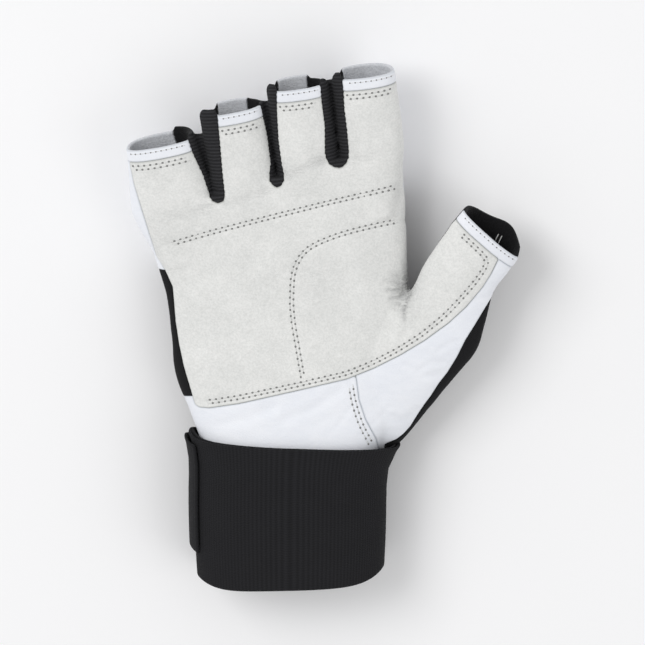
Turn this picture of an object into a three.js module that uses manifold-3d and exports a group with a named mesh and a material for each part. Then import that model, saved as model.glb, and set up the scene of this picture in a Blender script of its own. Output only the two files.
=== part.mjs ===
// A half-finger weightlifting glove for the right hand, lying on its back with the palm up.
// Millimetres, +Z up. +Y runs from the wrist to the fingertips and +X to the thumb side.
// The glove is a set of hollow tubes (palm, four finger stalls, thumb) joined into one form.
// The form is cut along its seams into the leather and fabric panels that are sewn together.
import * as THREE from "three";
import { mergeVertices } from "three/addons/utils/BufferGeometryUtils.js";
import Module from "manifold-3d";

const wasm = await Module();
wasm.setup();

// Driving sizes, in millimetres and degrees.
const palmLength = 140; // cuff edge to the middle of the line of finger crotches
const indexWidth = 26.4; // widths of the stalls where they leave the palm
const middleWidth = 25;
const ringWidth = 25.2;
const littleWidth = 34.8;
const crotchGap = 1; // between two stalls where they leave the palm
const knuckleWidth = indexWidth + middleWidth + ringWidth + littleWidth + 3 * crotchGap;
const knuckleSlope = 16.4; // how far the line of crotches slants down to the little finger
const indexLength = 33.5; // stall lengths past the line of crotches
const middleLength = 36.8;
const ringLength = 34.3;
const littleLength = 28.5;
const fingerTop = 6.5; // from the side seam up to the palm side, and down to the back
const fingerBottom = 11;
const fingerRise = 9; // how far the stalls curl up from the surface
const thumbLength = 85;
const thumbWidth = 30.8;
const thumbTop = 5;
const thumbBottom = 13.5;
const thumbHeading = 41.3; // from the hand's length towards the thumb side
const thumbRise = 9;
const seamHeight = 17.5; // the side seams of the palm above the surface
const palmTop = 12;
const palmBottom = 19;
const wall = 1.6; // leather or fabric with its lining
const seamGap = 0.3;
const bindingWidth = 5;
const bindingProud = 0.5; // how far the folded binding stands out of the panel
const gussetProud = 0.7; // how far the knitted gussets stand out between the fingers
const wrapWidth = 62; // the elastic wrist band
const wrapThickness = 1.6;
const wrapGap = 0.35;
const wrapTurns = 1.95;
const wrapBelow = 36; // how far the band reaches past the cuff edge
const wrapUpperTilt = 3.2; // how far the band's edges slant down to the thumb side, in degrees
const wrapLowerTilt = -2.4;
const wrapTaper = 2.6; // how far the loose end of the band draws in past the cuff
const wrapFlare = 0.6; // how far the band's upper edge stands away from the flaring palm
const tabThickness = 1.3;
const tabLength = 44;
const tabWidth = 47;
const tabRaise = 5; // the tab sits this much nearer to the palm than the band's middle
const tabTurns = 2.07; // where the closing tab's end lies, in turns from the band's start

const degrees = Math.PI / 180;
const wrapPitch = wrapThickness + wrapGap;
const cuffFloor = 2 * wrapPitch; // two turns of the band lie under the cuff

// Cross-sections of each tube. `at` is the share of its length from its root; `shift` and `wide`
// are shares of its width, `lift` of the seam height, `top` and `bottom` of its depths, and
// `floor` of the height of the cuff above the surface.
const palmRows = [
  { at: 0.0, shift: 0.081, wide: 0.324, lift: 1.09, top: 1.25, bottom: 0.82, floor: 1 },
  { at: 0.17, shift: 0.086, wide: 0.332, lift: 1.07, top: 1.23, bottom: 0.86, floor: 1.1 },
  { at: 0.27, shift: 0.102, wide: 0.39, lift: 1.02, top: 1.17, bottom: 1.0, floor: 0.45 },
  { at: 0.4, shift: 0.09, wide: 0.429, lift: 1.0, top: 1.1, bottom: 1.02, floor: 0 },
  { at: 0.55, shift: 0.083, wide: 0.437, lift: 1.0, top: 1.0, bottom: 1.02, floor: 0 },
  { at: 0.7, shift: 0.066, wide: 0.444, lift: 1.0, top: 0.96, bottom: 1.0, floor: 0 },
  { at: 0.84, shift: 0.042, wide: 0.46, lift: 1.02, top: 0.95, bottom: 0.93, floor: 0 },
  { at: 1.0, shift: 0.013, wide: 0.4755, lift: 1.15, top: 0.86, bottom: 0.74, floor: 0 },
];
const thumbRows = [
  { at: 0.0, shift: 0.2, wide: 0.6, lift: 0, top: 2.3, bottom: 1.25, floor: 0 },
  { at: 0.2, shift: 0.35, wide: 0.66, lift: 0, top: 2.0, bottom: 1.25, floor: 0 },
  { at: 0.38, shift: 0.375, wide: 0.645, lift: 0, top: 1.7, bottom: 1.2, floor: 0 },
  { at: 0.5, shift: 0.385, wide: 0.6, lift: 0, top: 1.5, bottom: 1.15, floor: 0 },
  { at: 0.63, shift: 0.245, wide: 0.565, lift: 0, top: 1.25, bottom: 1.05, floor: 0 },
  { at: 0.77, shift: 0.107, wide: 0.5, lift: 0, top: 1.1, bottom: 1.0, floor: 0 },
  { at: 0.89, shift: 0.05, wide: 0.505, lift: 0, top: 1.02, bottom: 1.0, floor: 0 },
  { at: 1.0, shift: 0, wide: 0.5, lift: 0, top: 1.0, bottom: 1.0, floor: 0 },
];
const fingerRows = [
  { at: 0.0, wide: 0.71, top: 1.45, bottom: 1.25 },
  { at: 0.22, wide: 0.86, top: 1.4, bottom: 1.24 },
  { at: 0.46, wide: 1.0, top: 1.27, bottom: 1.18 },
  { at: 0.75, wide: 1.0, top: 1.1, bottom: 1.06 },
  { at: 1.0, wide: 1.0, top: 1.0, bottom: 1.0 },
];
const rootShare = 0.85; // a stall's root reaches this share of its length into the palm

// From the thumb side: `width` at the crotch, `tip` the opening's width over it, `lean` in degrees
// and `tuck` how far the root is moved to the thumb side, as a share of the width.
const fingers = [
  { name: "index", width: indexWidth, length: indexLength, tip: 0.985, lean: 6.8, tuck: -0.07 },
  { name: "middle", width: middleWidth, length: middleLength, tip: 1.0, lean: 7.6, tuck: 0 },
  { name: "ring", width: ringWidth, length: ringLength, tip: 1.03, lean: 10.6, tuck: 0 },
  { name: "little", width: littleWidth, length: littleLength, tip: 0.81, lean: 11.3, tuck: 0.06 },
];
// The black gussets between the fingers: `low` and `high` are their widths at the crotch and at
// the tips as shares of the middle finger, `aside` how far the tips' end sits to the thumb side
// and `below` how far they pass the crotch.
const gussets = [
  { name: "gusset_middle_index", low: 0.31, high: 0.33, aside: 0.04, below: 0.09 },
  { name: "gusset_ring_middle", low: 0.18, high: 0.35, aside: 0.075, below: 0.1 },
  { name: "gusset_little_ring", low: 0.2, high: 0.58, aside: 0.065, below: 0.08 },
];

// Seams seen from above, as shares of the knuckle width and palm length from the cuff's middle
// (`on: "palm"`), or of the thumb's width and length from its root (`on: "thumb"`).
const suedeEdge = [
  { on: "palm", across: -0.253, along: 0.301 },
  { on: "palm", across: -0.103, along: 0.317 },
  { on: "palm", across: 0.108, along: 0.356 },
  { on: "palm", across: 0.291, along: 0.394 },
  { on: "thumb", across: 0.211, along: 0.237 },
  { on: "thumb", across: 0.393, along: 0.524 },
  { on: "thumb", across: 0.4, along: 0.775 },
  { on: "thumb", across: 0.3, along: 0.928 },
];
const heelSeam = [
  { on: "palm", across: 0.323, along: 0.396 },
  { on: "palm", across: 0.345, along: 0.301 },
  { on: "palm", across: 0.371, along: 0.239 },
  { on: "palm", across: 0.395, along: 0.198 },
  { on: "palm", across: 0.42, along: -0.1 },
];
const thumbLeatherEdge = [
  { on: "palm", across: 0.53, along: -0.1 },
  { on: "thumb", across: 1.04, along: -0.077 },
  { on: "thumb", across: 0.977, along: 0.133 },
  { on: "thumb", across: 0.864, along: 0.316 },
  { on: "thumb", across: 0.773, along: 0.46 },
  { on: "thumb", across: 0.718, along: 0.59 },
  { on: "thumb", across: 0.6, along: 0.8 },
  { on: "thumb", across: 0.58, along: 1.04 },
];
const knuckleSeam = [
  { on: "palm", across: -0.7, along: 0.7 },
  { on: "palm", across: -0.46, along: 0.71 },
  { on: "palm", across: -0.2, along: 0.73 },
  { on: "palm", across: 0.1, along: 0.8 },
  { on: "palm", across: 0.36, along: 0.9 },
  { on: "palm", across: 0.53, along: 0.95 },
];
const suedeInsetHeel = 5.5; // side strip showing beside the suede, at the heel and at the tip
const suedeInsetTip = 2.7;

// How finely curved things are cut.
const palmSides = 28;
const palmSteps = 12;
const fingerSides = 18;
const fingerSteps = 6;
const thumbSides = 22;
const thumbSteps = 9;
const wrapStepsPerTurn = 36;
const mergeWithin = 5e-3; // points nearer than this become one
const overshoot = 6; // how far a cavity or cutter passes the edge that it cuts

const materials = {
  suede: { color: 0xdedfdc, roughness: 0.95, metalness: 0 },
  leather: { color: 0xf0f2f6, roughness: 0.5, metalness: 0 },
  stretch: { color: 0x1c1d1f, roughness: 0.85, metalness: 0 },
  elastic: { color: 0x17181a, roughness: 0.8, metalness: 0 },
};

// The value of a column at a place between the rows, along a smooth curve through them.
function column(rows, name, at) {
  const inside = Math.min(Math.max(at, rows[0].at), rows[rows.length - 1].at);
  let i = 0;
  while (i < rows.length - 2 && inside > rows[i + 1].at) i++;
  const slope = (j) => {
    const a = rows[Math.max(j - 1, 0)];
    const b = rows[Math.min(j + 1, rows.length - 1)];
    return (b[name] - a[name]) / (b.at - a.at);
  };
  const step = rows[i + 1].at - rows[i].at;
  const t = (inside - rows[i].at) / step;
  const rise = rows[i + 1][name] - rows[i][name];
  const early = slope(i) * step;
  const late = slope(i + 1) * step;
  return rows[i][name] + t * (early + t * (3 * rise - 2 * early - late + t * (early + late - 2 * rise)));
}

// A tube's own axes: along its length, across it to the thumb side, and up.
function axes(heading, rise) {
  const h = heading * degrees;
  const r = rise * degrees;
  return {
    along: new THREE.Vector3(Math.sin(h) * Math.cos(r), Math.cos(h) * Math.cos(r), Math.sin(r)),
    across: new THREE.Vector3(Math.cos(h), -Math.sin(h), 0),
    up: new THREE.Vector3(-Math.sin(h) * Math.sin(r), -Math.cos(h) * Math.sin(r), Math.cos(r)),
  };
}

const palm = {
  ...axes(0, 0),
  slant: Math.tan(knuckleSlope * degrees),
  root: new THREE.Vector3(0, 0, 0),
  length: palmLength,
  square: 2.5,
  size(at) {
    return {
      shift: column(palmRows, "shift", at) * knuckleWidth,
      wide: column(palmRows, "wide", at) * knuckleWidth,
      lift: column(palmRows, "lift", at) * seamHeight,
      top: column(palmRows, "top", at) * palmTop,
      bottom: column(palmRows, "bottom", at) * palmBottom,
      floor: Math.max(0, column(palmRows, "floor", at)) * cuffFloor,
    };
  },
};

const thumbRoot = new THREE.Vector3(0.329 * knuckleWidth, 0.389 * palmLength, seamHeight);
const thumb = {
  ...axes(thumbHeading, thumbRise),
  root: thumbRoot,
  length: thumbLength / Math.cos(thumbRise * degrees),
  square: 2.2,
  size(at) {
    return {
      shift: column(thumbRows, "shift", at) * thumbWidth,
      wide: column(thumbRows, "wide", at) * thumbWidth,
      lift: 0,
      top: column(thumbRows, "top", at) * thumbTop,
      bottom: column(thumbRows, "bottom", at) * thumbBottom,
      floor: 0,
    };
  },
};

const thumbSide = 0.528 * knuckleWidth; // past here lies the thumb and not the palm

// The height on the palm of the line of crotches, a place across the hand from its middle.
const crotchLine = (x) => palmLength + x * Math.tan(knuckleSlope * degrees);

// The stalls stand side by side from the thumb side of the knuckles.
let edge = knuckleWidth / 2;
const stalls = fingers.map((finger) => {
  const x = edge - finger.width / 2;
  edge -= finger.width + crotchGap;
  const directions = axes(-finger.lean, fingerRise);
  const inside = finger.length * rootShare;
  const length = (finger.length + inside) / Math.cos(fingerRise * degrees);
  const root = new THREE.Vector3(x, crotchLine(x), seamHeight)
    .addScaledVector(axes(-finger.lean, 0).along, -inside);
  return {
    ...directions,
    name: finger.name,
    root,
    length,
    square: 2.3,
    size(at) {
      const narrowing = 1 + (finger.tip - 1) * Math.max(0, (at - 0.46) / 0.54);
      return {
        shift: finger.tuck * finger.width * Math.max(0, 1 - at / 0.46),
        wide: (column(fingerRows, "wide", at) * narrowing * finger.width) / 2,
        lift: 0,
        top: column(fingerRows, "top", at) * fingerTop,
        bottom: column(fingerRows, "bottom", at) * fingerBottom,
        floor: 0,
      };
    },
  };
});

// A point on a tube's skin, `turn` round it and `grow` outside it. The skin lies flat on the floor.
// The palm's sections turn from square at the wrist to the slant of the crotches.
function skin(tube, at, turn, grow) {
  const size = tube.size(at);
  const round = (value) => Math.sign(value) * Math.abs(value) ** (2 / tube.square);
  const c = Math.cos(turn);
  const s = Math.sin(turn);
  const side = size.shift + round(c) * (size.wide + grow);
  const deep = size.lift + round(s) * ((s > 0 ? size.top : size.bottom) + grow);
  const point = tube.root
    .clone()
    .addScaledVector(tube.along, at * tube.length)
    .addScaledVector(tube.across, side)
    .addScaledVector(tube.up, deep);
  if (tube.slant) point.y += point.x * tube.slant * Math.min(Math.max((at - 0.3) / 0.7, 0), 1.1);
  point.z = Math.max(point.z, size.floor + Math.max(0, -grow));
  return point;
}

// Turns rings of points into a closed mesh, its first and last ring capped.
function closeRings(rings) {
  const sides = rings[0].length;
  const points = rings.flat();
  const faces = [];
  for (let r = 0; r + 1 < rings.length; r++) {
    for (let k = 0; k < sides; k++) {
      const a = r * sides + k;
      const b = r * sides + ((k + 1) % sides);
      faces.push(a, a + sides, b, b, a + sides, b + sides);
    }
  }
  const cap = (ring, start, forward) => {
    const middle = new THREE.Vector3();
    ring.forEach((p) => middle.addScaledVector(p, 1 / sides));
    points.push(middle);
    for (let k = 0; k < sides; k++) {
      const a = start + k;
      const b = start + ((k + 1) % sides);
      if (forward) faces.push(points.length - 1, b, a);
      else faces.push(points.length - 1, a, b);
    }
  };
  cap(rings[0], 0, false);
  cap(rings[rings.length - 1], (rings.length - 1) * sides, true);
  return new THREE.BufferGeometry().setFromPoints(points).setIndex(faces);
}

// A closed mesh as a solid that can be cut and joined.
function solid(geometry) {
  const bare = geometry.clone();
  bare.deleteAttribute("normal");
  bare.deleteAttribute("uv");
  const merged = mergeVertices(bare, 1e-4);
  const made = new wasm.Manifold(
    new wasm.Mesh({
      numProp: 3,
      vertProperties: new Float32Array(merged.attributes.position.array),
      triVerts: new Uint32Array(merged.index.array),
    }),
  );
  if (made.volume() > 0) return made;
  for (let i = 0; i < merged.index.array.length; i += 3) {
    const a = merged.index.array[i];
    merged.index.array[i] = merged.index.array[i + 1];
    merged.index.array[i + 1] = a;
  }
  return solid(merged);
}

// A stretch of a tube between two shares of its length.
function tubeSolid(tube, from, to, steps, sides, grow) {
  const rings = [];
  for (let i = 0; i <= steps; i++) {
    const at = from + ((to - from) * i) / steps;
    const ring = [];
    for (let k = 0; k < sides; k++) ring.push(skin(tube, at, (2 * Math.PI * k) / sides, grow));
    rings.push(ring);
  }
  return solid(closeRings(rings));
}

// A tall block standing on an outline, which is a closed list of points seen from above.
function prism(outline, low, high) {
  const shape = new THREE.Shape(outline.map((p) => new THREE.Vector2(p.x, p.y)));
  const block = new THREE.ExtrudeGeometry(shape, { depth: high - low, bevelEnabled: false });
  return solid(block.translate(0, 0, low));
}

// An outline moved outwards by a distance, each corner along its own mitre.
function widen(outline, distance) {
  const turned = THREE.ShapeUtils.area(outline) > 0 ? 1 : -1;
  return outline.map((p, i) => {
    const before = outline[(i + outline.length - 1) % outline.length];
    const after = outline[(i + 1) % outline.length];
    const a = new THREE.Vector2().subVectors(p, before).normalize();
    const b = new THREE.Vector2().subVectors(after, p).normalize();
    const normal = new THREE.Vector2(a.y + b.y, -a.x - b.x).normalize();
    const mitre = Math.max(0.5, normal.x * a.y - normal.y * a.x);
    return p.clone().addScaledVector(normal, (turned * distance) / mitre);
  });
}

// The place that a seam's row names, seen from above.
function place(row) {
  const frame = row.on === "thumb" ? thumb : palm;
  const [width, length] = row.on === "thumb" ? [thumbWidth, thumbLength] : [knuckleWidth, palmLength];
  const level = new THREE.Vector2(frame.along.x, frame.along.y).normalize();
  return new THREE.Vector2(frame.root.x, frame.root.y)
    .addScaledVector(level, row.along * length)
    .addScaledVector(new THREE.Vector2(level.y, -level.x), row.across * width);
}

// A smooth line through a seam's places.
const seamLine = (rows, steps = 24) => new THREE.SplineCurve(rows.map(place)).getPoints(steps);

// The whole form, grown outwards or shrunk inwards. A shrunk form runs out of the openings.
function form(grow) {
  const open = grow < 0 ? overshoot : 0;
  const start = -open / palmLength;
  let whole = tubeSolid(palm, start, 1 + grow / palmLength, palmSteps, palmSides, grow);
  for (const stall of stalls) {
    const end = 1 + open / stall.length;
    whole = whole.add(tubeSolid(stall, 0, end, fingerSteps, fingerSides, grow));
  }
  const end = 1 + open / thumb.length;
  return whole.add(tubeSolid(thumb, 0, end, thumbSteps, thumbSides, grow));
}

// The height of the side seams at a place seen from above: it follows the stalls and the thumb up.
function seamLevel(x, y) {
  const level = palm.size(Math.min(Math.max(y / palmLength, 0), 0.8)).lift;
  if (x > thumbSide) {
    const towards = new THREE.Vector2(x - thumb.root.x, y - thumb.root.y);
    const onThumb = towards.dot(new THREE.Vector2(thumb.along.x, thumb.along.y).normalize());
    return level + Math.max(0, onThumb) * Math.tan(thumbRise * degrees);
  }
  const root = crotchLine(x) - indexLength * rootShare;
  return level + Math.max(0, y - root) * Math.tan(fingerRise * degrees);
}

// Everything above the side seams, reaching `grow` below them.
function upperHalf(grow) {
  const shares = [-0.9, -0.6, -0.4, -0.2, 0, 0.2, 0.4];
  const xs = [...shares.map((share) => share * knuckleWidth), thumbSide, thumbSide + 1];
  xs.push(0.7 * knuckleWidth, 0.9 * knuckleWidth, 1.2 * knuckleWidth);
  const [yLow, yHigh] = [-overshoot - 1, palmLength + 2.2 * middleLength];
  const columns = xs.length - 1;
  const lines = 12;
  const points = [];
  for (const top of [false, true]) {
    for (let j = 0; j <= lines; j++) {
      for (const x of xs) {
        const y = yLow + ((yHigh - yLow) * j) / lines;
        points.push(new THREE.Vector3(x, y, top ? 5 * seamHeight : seamLevel(x, y) - grow));
      }
    }
  }
  const count = (columns + 1) * (lines + 1);
  const id = (i, j, top) => top * count + j * (columns + 1) + i;
  const faces = [];
  const quad = (a, b, c, d) => faces.push(a, b, c, a, c, d);
  for (let j = 0; j < lines; j++) {
    for (let i = 0; i < columns; i++) {
      quad(id(i, j, 0), id(i, j + 1, 0), id(i + 1, j + 1, 0), id(i + 1, j, 0));
      quad(id(i, j, 1), id(i + 1, j, 1), id(i + 1, j + 1, 1), id(i, j + 1, 1));
    }
  }
  for (let i = 0; i < columns; i++) {
    quad(id(i, 0, 0), id(i + 1, 0, 0), id(i + 1, 0, 1), id(i, 0, 1));
    quad(id(i + 1, lines, 0), id(i, lines, 0), id(i, lines, 1), id(i + 1, lines, 1));
  }
  for (let j = 0; j < lines; j++) {
    quad(id(0, j + 1, 0), id(0, j, 0), id(0, j, 1), id(0, j + 1, 1));
    quad(id(columns, j, 0), id(columns, j + 1, 0), id(columns, j + 1, 1), id(columns, j, 1));
  }
  return solid(new THREE.BufferGeometry().setFromPoints(points).setIndex(faces));
}

const cavity = form(-wall);
const shell = form(0).subtract(cavity);
const ceiling = 4 * seamHeight;
const upper = { tight: upperHalf(0), wide: upperHalf(seamGap) };

// A panel's cutter, and the same cutter grown by the seam's gap for its neighbours to be cut with.
function cutter(outline, half) {
  const tight = prism(outline, -overshoot, ceiling);
  const wide = prism(widen(outline, seamGap), -overshoot, ceiling);
  if (!half) return { tight, wide };
  return { tight: tight.intersect(upper.tight), wide: wide.intersect(upper.wide) };
}

// The gusset between two stalls runs from below their crotch to past their tips.
function gussetCutter(gusset, thumbward, littleward) {
  const sideOf = (stall, at, sign) => {
    const p = skin(stall, at, sign > 0 ? 0 : Math.PI, 0);
    return new THREE.Vector2(p.x, p.y);
  };
  const middle = (at) => sideOf(thumbward, at, -1).add(sideOf(littleward, at, 1)).multiplyScalar(0.5);
  const low = middle(rootShare / (1 + rootShare));
  const high = middle(1);
  high.x += gusset.aside * middleWidth;
  const along = high.clone().sub(low).normalize();
  const across = new THREE.Vector2(along.y, -along.x);
  const foot = low.clone().addScaledVector(along, -gusset.below * middleLength);
  const head = high.clone().addScaledVector(along, 2 * overshoot);
  const outline = [];
  const round = 8;
  for (let k = 0; k <= round; k++) {
    const a = Math.PI + (Math.PI * k) / round;
    const radius = (gusset.low * middleWidth) / 2;
    outline.push(
      foot
        .clone()
        .addScaledVector(along, radius * (1 + Math.sin(a)))
        .addScaledVector(across, radius * Math.cos(a)),
    );
  }
  const half = (gusset.high * middleWidth) / 2;
  outline.push(head.clone().addScaledVector(across, half), head.clone().addScaledVector(across, -half));
  return cutter(outline, false);
}

// The last stretch of a tube, wider than the tube, that holds its binding.
function tipZone(tube, back, steps, sides) {
  const from = 1 - back / tube.length;
  const to = 1 + overshoot / tube.length;
  return tubeSolid(tube, from, to, steps, sides, overshoot / 2).intersect(upper.wide);
}

// The biggest body of a cut solid, as a mesh: slivers that a cut leaves beside it are dropped.
function largestBody(made) {
  const mesh = made.decompose().sort((a, b) => b.volume() - a.volume())[0].getMesh();
  const geometry = new THREE.BufferGeometry();
  geometry.setAttribute("position", new THREE.BufferAttribute(mesh.vertProperties, 3));
  return geometry.setIndex(new THREE.BufferAttribute(mesh.triVerts, 1));
}

const meshes = [];
function addPiece(name, kind, made) {
  const geometry = largestBody(solid(mergeVertices(largestBody(made), mergeWithin)));
  geometry.computeVertexNormals();
  const piece = new THREE.Mesh(geometry, new THREE.MeshStandardMaterial(materials[kind]));
  piece.name = name;
  meshes.push(piece);
}

// The gussets come first: every other panel of the fingers is cut back from them.
const gussetShell = form(gussetProud).subtract(cavity);
const gussetCutters = gussets.map((gusset, i) => gussetCutter(gusset, stalls[i], stalls[i + 1]));
let taken = gussetCutters[0].wide;
gussetCutters.forEach((cut, i) => {
  addPiece(gussets[i].name, "stretch", gussetShell.intersect(cut.tight));
  taken = taken.add(cut.wide);
});

// The bindings fold over the palm side of each opening.
for (const tube of [...stalls, { ...thumb, name: "thumb" }]) {
  const from = 1 - bindingWidth / tube.length;
  const [steps, sides] = [1, tube.name === "thumb" ? thumbSides : fingerSides];
  const band = tubeSolid(tube, from, 1, steps, sides, bindingProud).subtract(cavity);
  addPiece("binding_" + tube.name, "leather", band.intersect(upper.tight).subtract(taken));
}
for (const tube of stalls) taken = taken.add(tipZone(tube, bindingWidth + seamGap, 1, fingerSides));
taken = taken.add(tipZone(thumb, bindingWidth + seamGap, 1, thumbSides));

// The suede palm reaches up to the bindings and down to the heel, with a strip of the sides left.
function suedeOutline() {
  const outline = seamLine(suedeEdge);
  const beyond = { on: "thumb", across: suedeEdge[suedeEdge.length - 1].across, along: 1.2 };
  outline.push(place(beyond));
  const reach = palmLength + 2 * middleLength;
  outline.push(new THREE.Vector2(knuckleWidth, reach), new THREE.Vector2(-knuckleWidth / 2, reach));
  const little = stalls[stalls.length - 1];
  for (const at of [1.1, 0.8, 0.5]) {
    const p = skin(little, at, Math.PI, -suedeInsetTip);
    outline.push(new THREE.Vector2(p.x, p.y));
  }
  for (const at of [0.86, 0.74, 0.62, 0.5, 0.38]) {
    const inset = suedeInsetHeel + ((suedeInsetTip - suedeInsetHeel) * (at - 0.38)) / 0.6;
    const p = skin(palm, at, Math.PI, -inset);
    outline.push(new THREE.Vector2(p.x, p.y));
  }
  return outline;
}
const suede = cutter(suedeOutline(), true);
addPiece("palm_suede", "suede", shell.intersect(suede.tight).subtract(taken));
taken = taken.add(suede.wide);

// Smooth leather wraps the thumb's outer side and the heel, lapped at one seam.
const inSuede = { on: "palm", across: 0.3, along: 0.55 };
const pastThumb = { on: "thumb", across: 0.1, along: 1.15 };
const besideThumb = { on: "thumb", across: 0.75, along: 1.15 };
const thumbOutline = [
  ...seamLine([...heelSeam].reverse(), 12),
  place(inSuede),
  place(pastThumb),
  place(besideThumb),
  ...seamLine([...thumbLeatherEdge].reverse()),
];
const thumbLeather = cutter(thumbOutline, true);
addPiece("thumb_leather", "leather", shell.intersect(thumbLeather.tight).subtract(taken));
taken = taken.add(thumbLeather.wide);

const heelCorners = [
  { on: "palm", across: 0.33, along: -0.1 },
  { on: "palm", across: 0.44, along: -0.1 },
  { on: "palm", across: 0.44, along: 0.2 },
  { on: "palm", across: 0.36, along: 0.396 },
  { on: "palm", across: 0.2, along: 0.5 },
  { on: "palm", across: -0.2, along: 0.36 },
  { on: "palm", across: -0.4, along: 0.316 },
  { on: "palm", across: -0.7, along: 0.316 },
  { on: "palm", across: -0.7, along: -0.1 },
];
const heel = cutter(heelCorners.map(place), true);
addPiece("heel_leather", "leather", shell.intersect(heel.tight).subtract(taken));
taken = taken.add(heel.wide);

// White leather covers the backs of the stalls and the little finger's side down to the knuckles.
const reach = palmLength + 2 * middleLength;
const knuckleOutline = [
  ...seamLine(knuckleSeam),
  new THREE.Vector2(0.56 * knuckleWidth, reach),
  new THREE.Vector2(-0.8 * knuckleWidth, reach),
];
const knuckles = cutter(knuckleOutline, false);
addPiece("knuckle_leather", "leather", shell.intersect(knuckles.tight).subtract(taken));
taken = taken.add(knuckles.wide);

// Black stretch fabric makes all that is left: the back of the hand and of the thumb.
addPiece("back_stretch", "stretch", shell.subtract(taken));

// How far the wound band stands off the cuff, after some turns from its start on the little
// finger's side. It lies tight and steps up where it passes over its own start.
function bandOffset(turns) {
  const step = 0.1;
  const whole = Math.floor(turns + step / 2);
  const before = Math.min(Math.max((turns + step / 2 - whole) / step, 0), 1);
  const eased = before * before * (3 - 2 * before);
  return wrapGap + wrapPitch * (whole - 1 + (whole > 0 ? eased : 1));
}

// A strip wound round the cuff between two counts of turns, `path` giving how far it stands off
// and `low` and `high` how far along the hand it lies.
function woundStrip(from, to, path, thickness, low, high, crossSteps) {
  const steps = Math.ceil((to - from) * wrapStepsPerTurn);
  const rings = [];
  for (let i = 0; i <= steps; i++) {
    const turns = from + ((to - from) * i) / steps;
    const turn = Math.PI - 2 * Math.PI * turns;
    const ring = [];
    const corner = (out, j) => {
      const share = j / crossSteps;
      const level = low + (high - low) * share;
      const tilt = wrapLowerTilt + (wrapUpperTilt - wrapLowerTilt) * share;
      const slant = Math.cos(turn) * palm.size(0).wide * Math.tan(tilt * degrees);
      const y = level - slant;
      const at = Math.max(0, y / palmLength);
      const drawn = wrapTaper * (Math.min(0, y) / wrapBelow) ** 2;
      const above = path(turns) + out;
      const offset = above + (j === crossSteps ? wrapFlare : 0) - drawn;
      const p = skin(palm, at, turn, offset);
      const size = palm.size(at);
      p.y = y;
      p.z = Math.max(size.lift + bandDeep(size, turn, offset), size.floor - above, 0);
      ring.push(p);
    };
    for (let j = 0; j <= crossSteps; j++) corner(0, j);
    for (let j = crossSteps; j >= 0; j--) corner(thickness, j);
    rings.push(ring);
  }
  return solid(closeRings(rings));
}

// The height of the band's path over the cuff's seam at an angle round it.
function bandDeep(size, turn, grow) {
  const s = Math.sin(turn);
  const round = Math.sign(s) * Math.abs(s) ** (2 / palm.square);
  return round * ((s > 0 ? size.top : size.bottom) + grow);
}

const wrapHigh = wrapWidth - wrapBelow;
const band = woundStrip(0, wrapTurns, bandOffset, wrapThickness, -wrapBelow, wrapHigh, 5);
addPiece("wrist_wrap", "elastic", band);

// The hook-and-loop end lies on the band's outer turn at the little finger's side.
const onBand = () => 1.8 * wrapGap + 2 * wrapPitch;
const tabSpan = tabLength / (2 * Math.PI * 0.26 * knuckleWidth);
const tabMiddle = (wrapHigh - wrapBelow) / 2 + tabRaise;
const [tabLow, tabHigh] = [tabMiddle - tabWidth / 2, tabMiddle + tabWidth / 2];
const tab = woundStrip(tabTurns - tabSpan, tabTurns, onBand, tabThickness, tabLow, tabHigh, 4);
addPiece("closure_tab", "elastic", tab);

// The glove stands over the middle of the surface that it lies on.
const glove = new THREE.Group();
glove.add(...meshes);
const box = new THREE.Box3().setFromObject(glove);
glove.position.set(-(box.min.x + box.max.x) / 2, -(box.min.y + box.max.y) / 2, -box.min.z);

export default glove;
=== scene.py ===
import math

import bpy
import numpy as np
from mathutils import Matrix, Vector, kdtree, noise
from mathutils.bvhtree import BVHTree


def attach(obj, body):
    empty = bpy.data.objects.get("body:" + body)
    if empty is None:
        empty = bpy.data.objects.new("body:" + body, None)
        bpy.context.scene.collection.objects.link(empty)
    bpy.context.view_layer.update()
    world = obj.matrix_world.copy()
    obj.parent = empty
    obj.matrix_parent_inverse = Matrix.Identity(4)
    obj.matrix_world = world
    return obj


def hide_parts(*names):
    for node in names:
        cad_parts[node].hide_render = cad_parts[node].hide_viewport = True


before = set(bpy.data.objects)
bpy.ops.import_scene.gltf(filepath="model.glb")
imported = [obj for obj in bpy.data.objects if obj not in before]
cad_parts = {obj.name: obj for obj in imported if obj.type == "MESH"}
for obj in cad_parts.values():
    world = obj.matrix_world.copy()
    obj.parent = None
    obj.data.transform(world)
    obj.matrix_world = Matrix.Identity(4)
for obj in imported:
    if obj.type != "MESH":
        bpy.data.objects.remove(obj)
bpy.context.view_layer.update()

# All sizes below are in millimetres, in the glove's own frame: +Y runs from the cuff to the
# fingertips, +X to the thumb side and +Z up from the table to the palm. ON_TABLE moves that frame
# to the frame of the CAD model.
ON_TABLE = np.array([-23.16187, -75.52263, 0.0])
METRE = 0.001
DEGREE = math.pi / 180
SEEN_TILT = 14 * DEGREE
SEEN_FROM = np.array([0.0, math.sin(SEEN_TILT), math.cos(SEEN_TILT)])
SEEN_UP = np.array([0.0, math.cos(SEEN_TILT), -math.sin(SEEN_TILT)])

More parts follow.
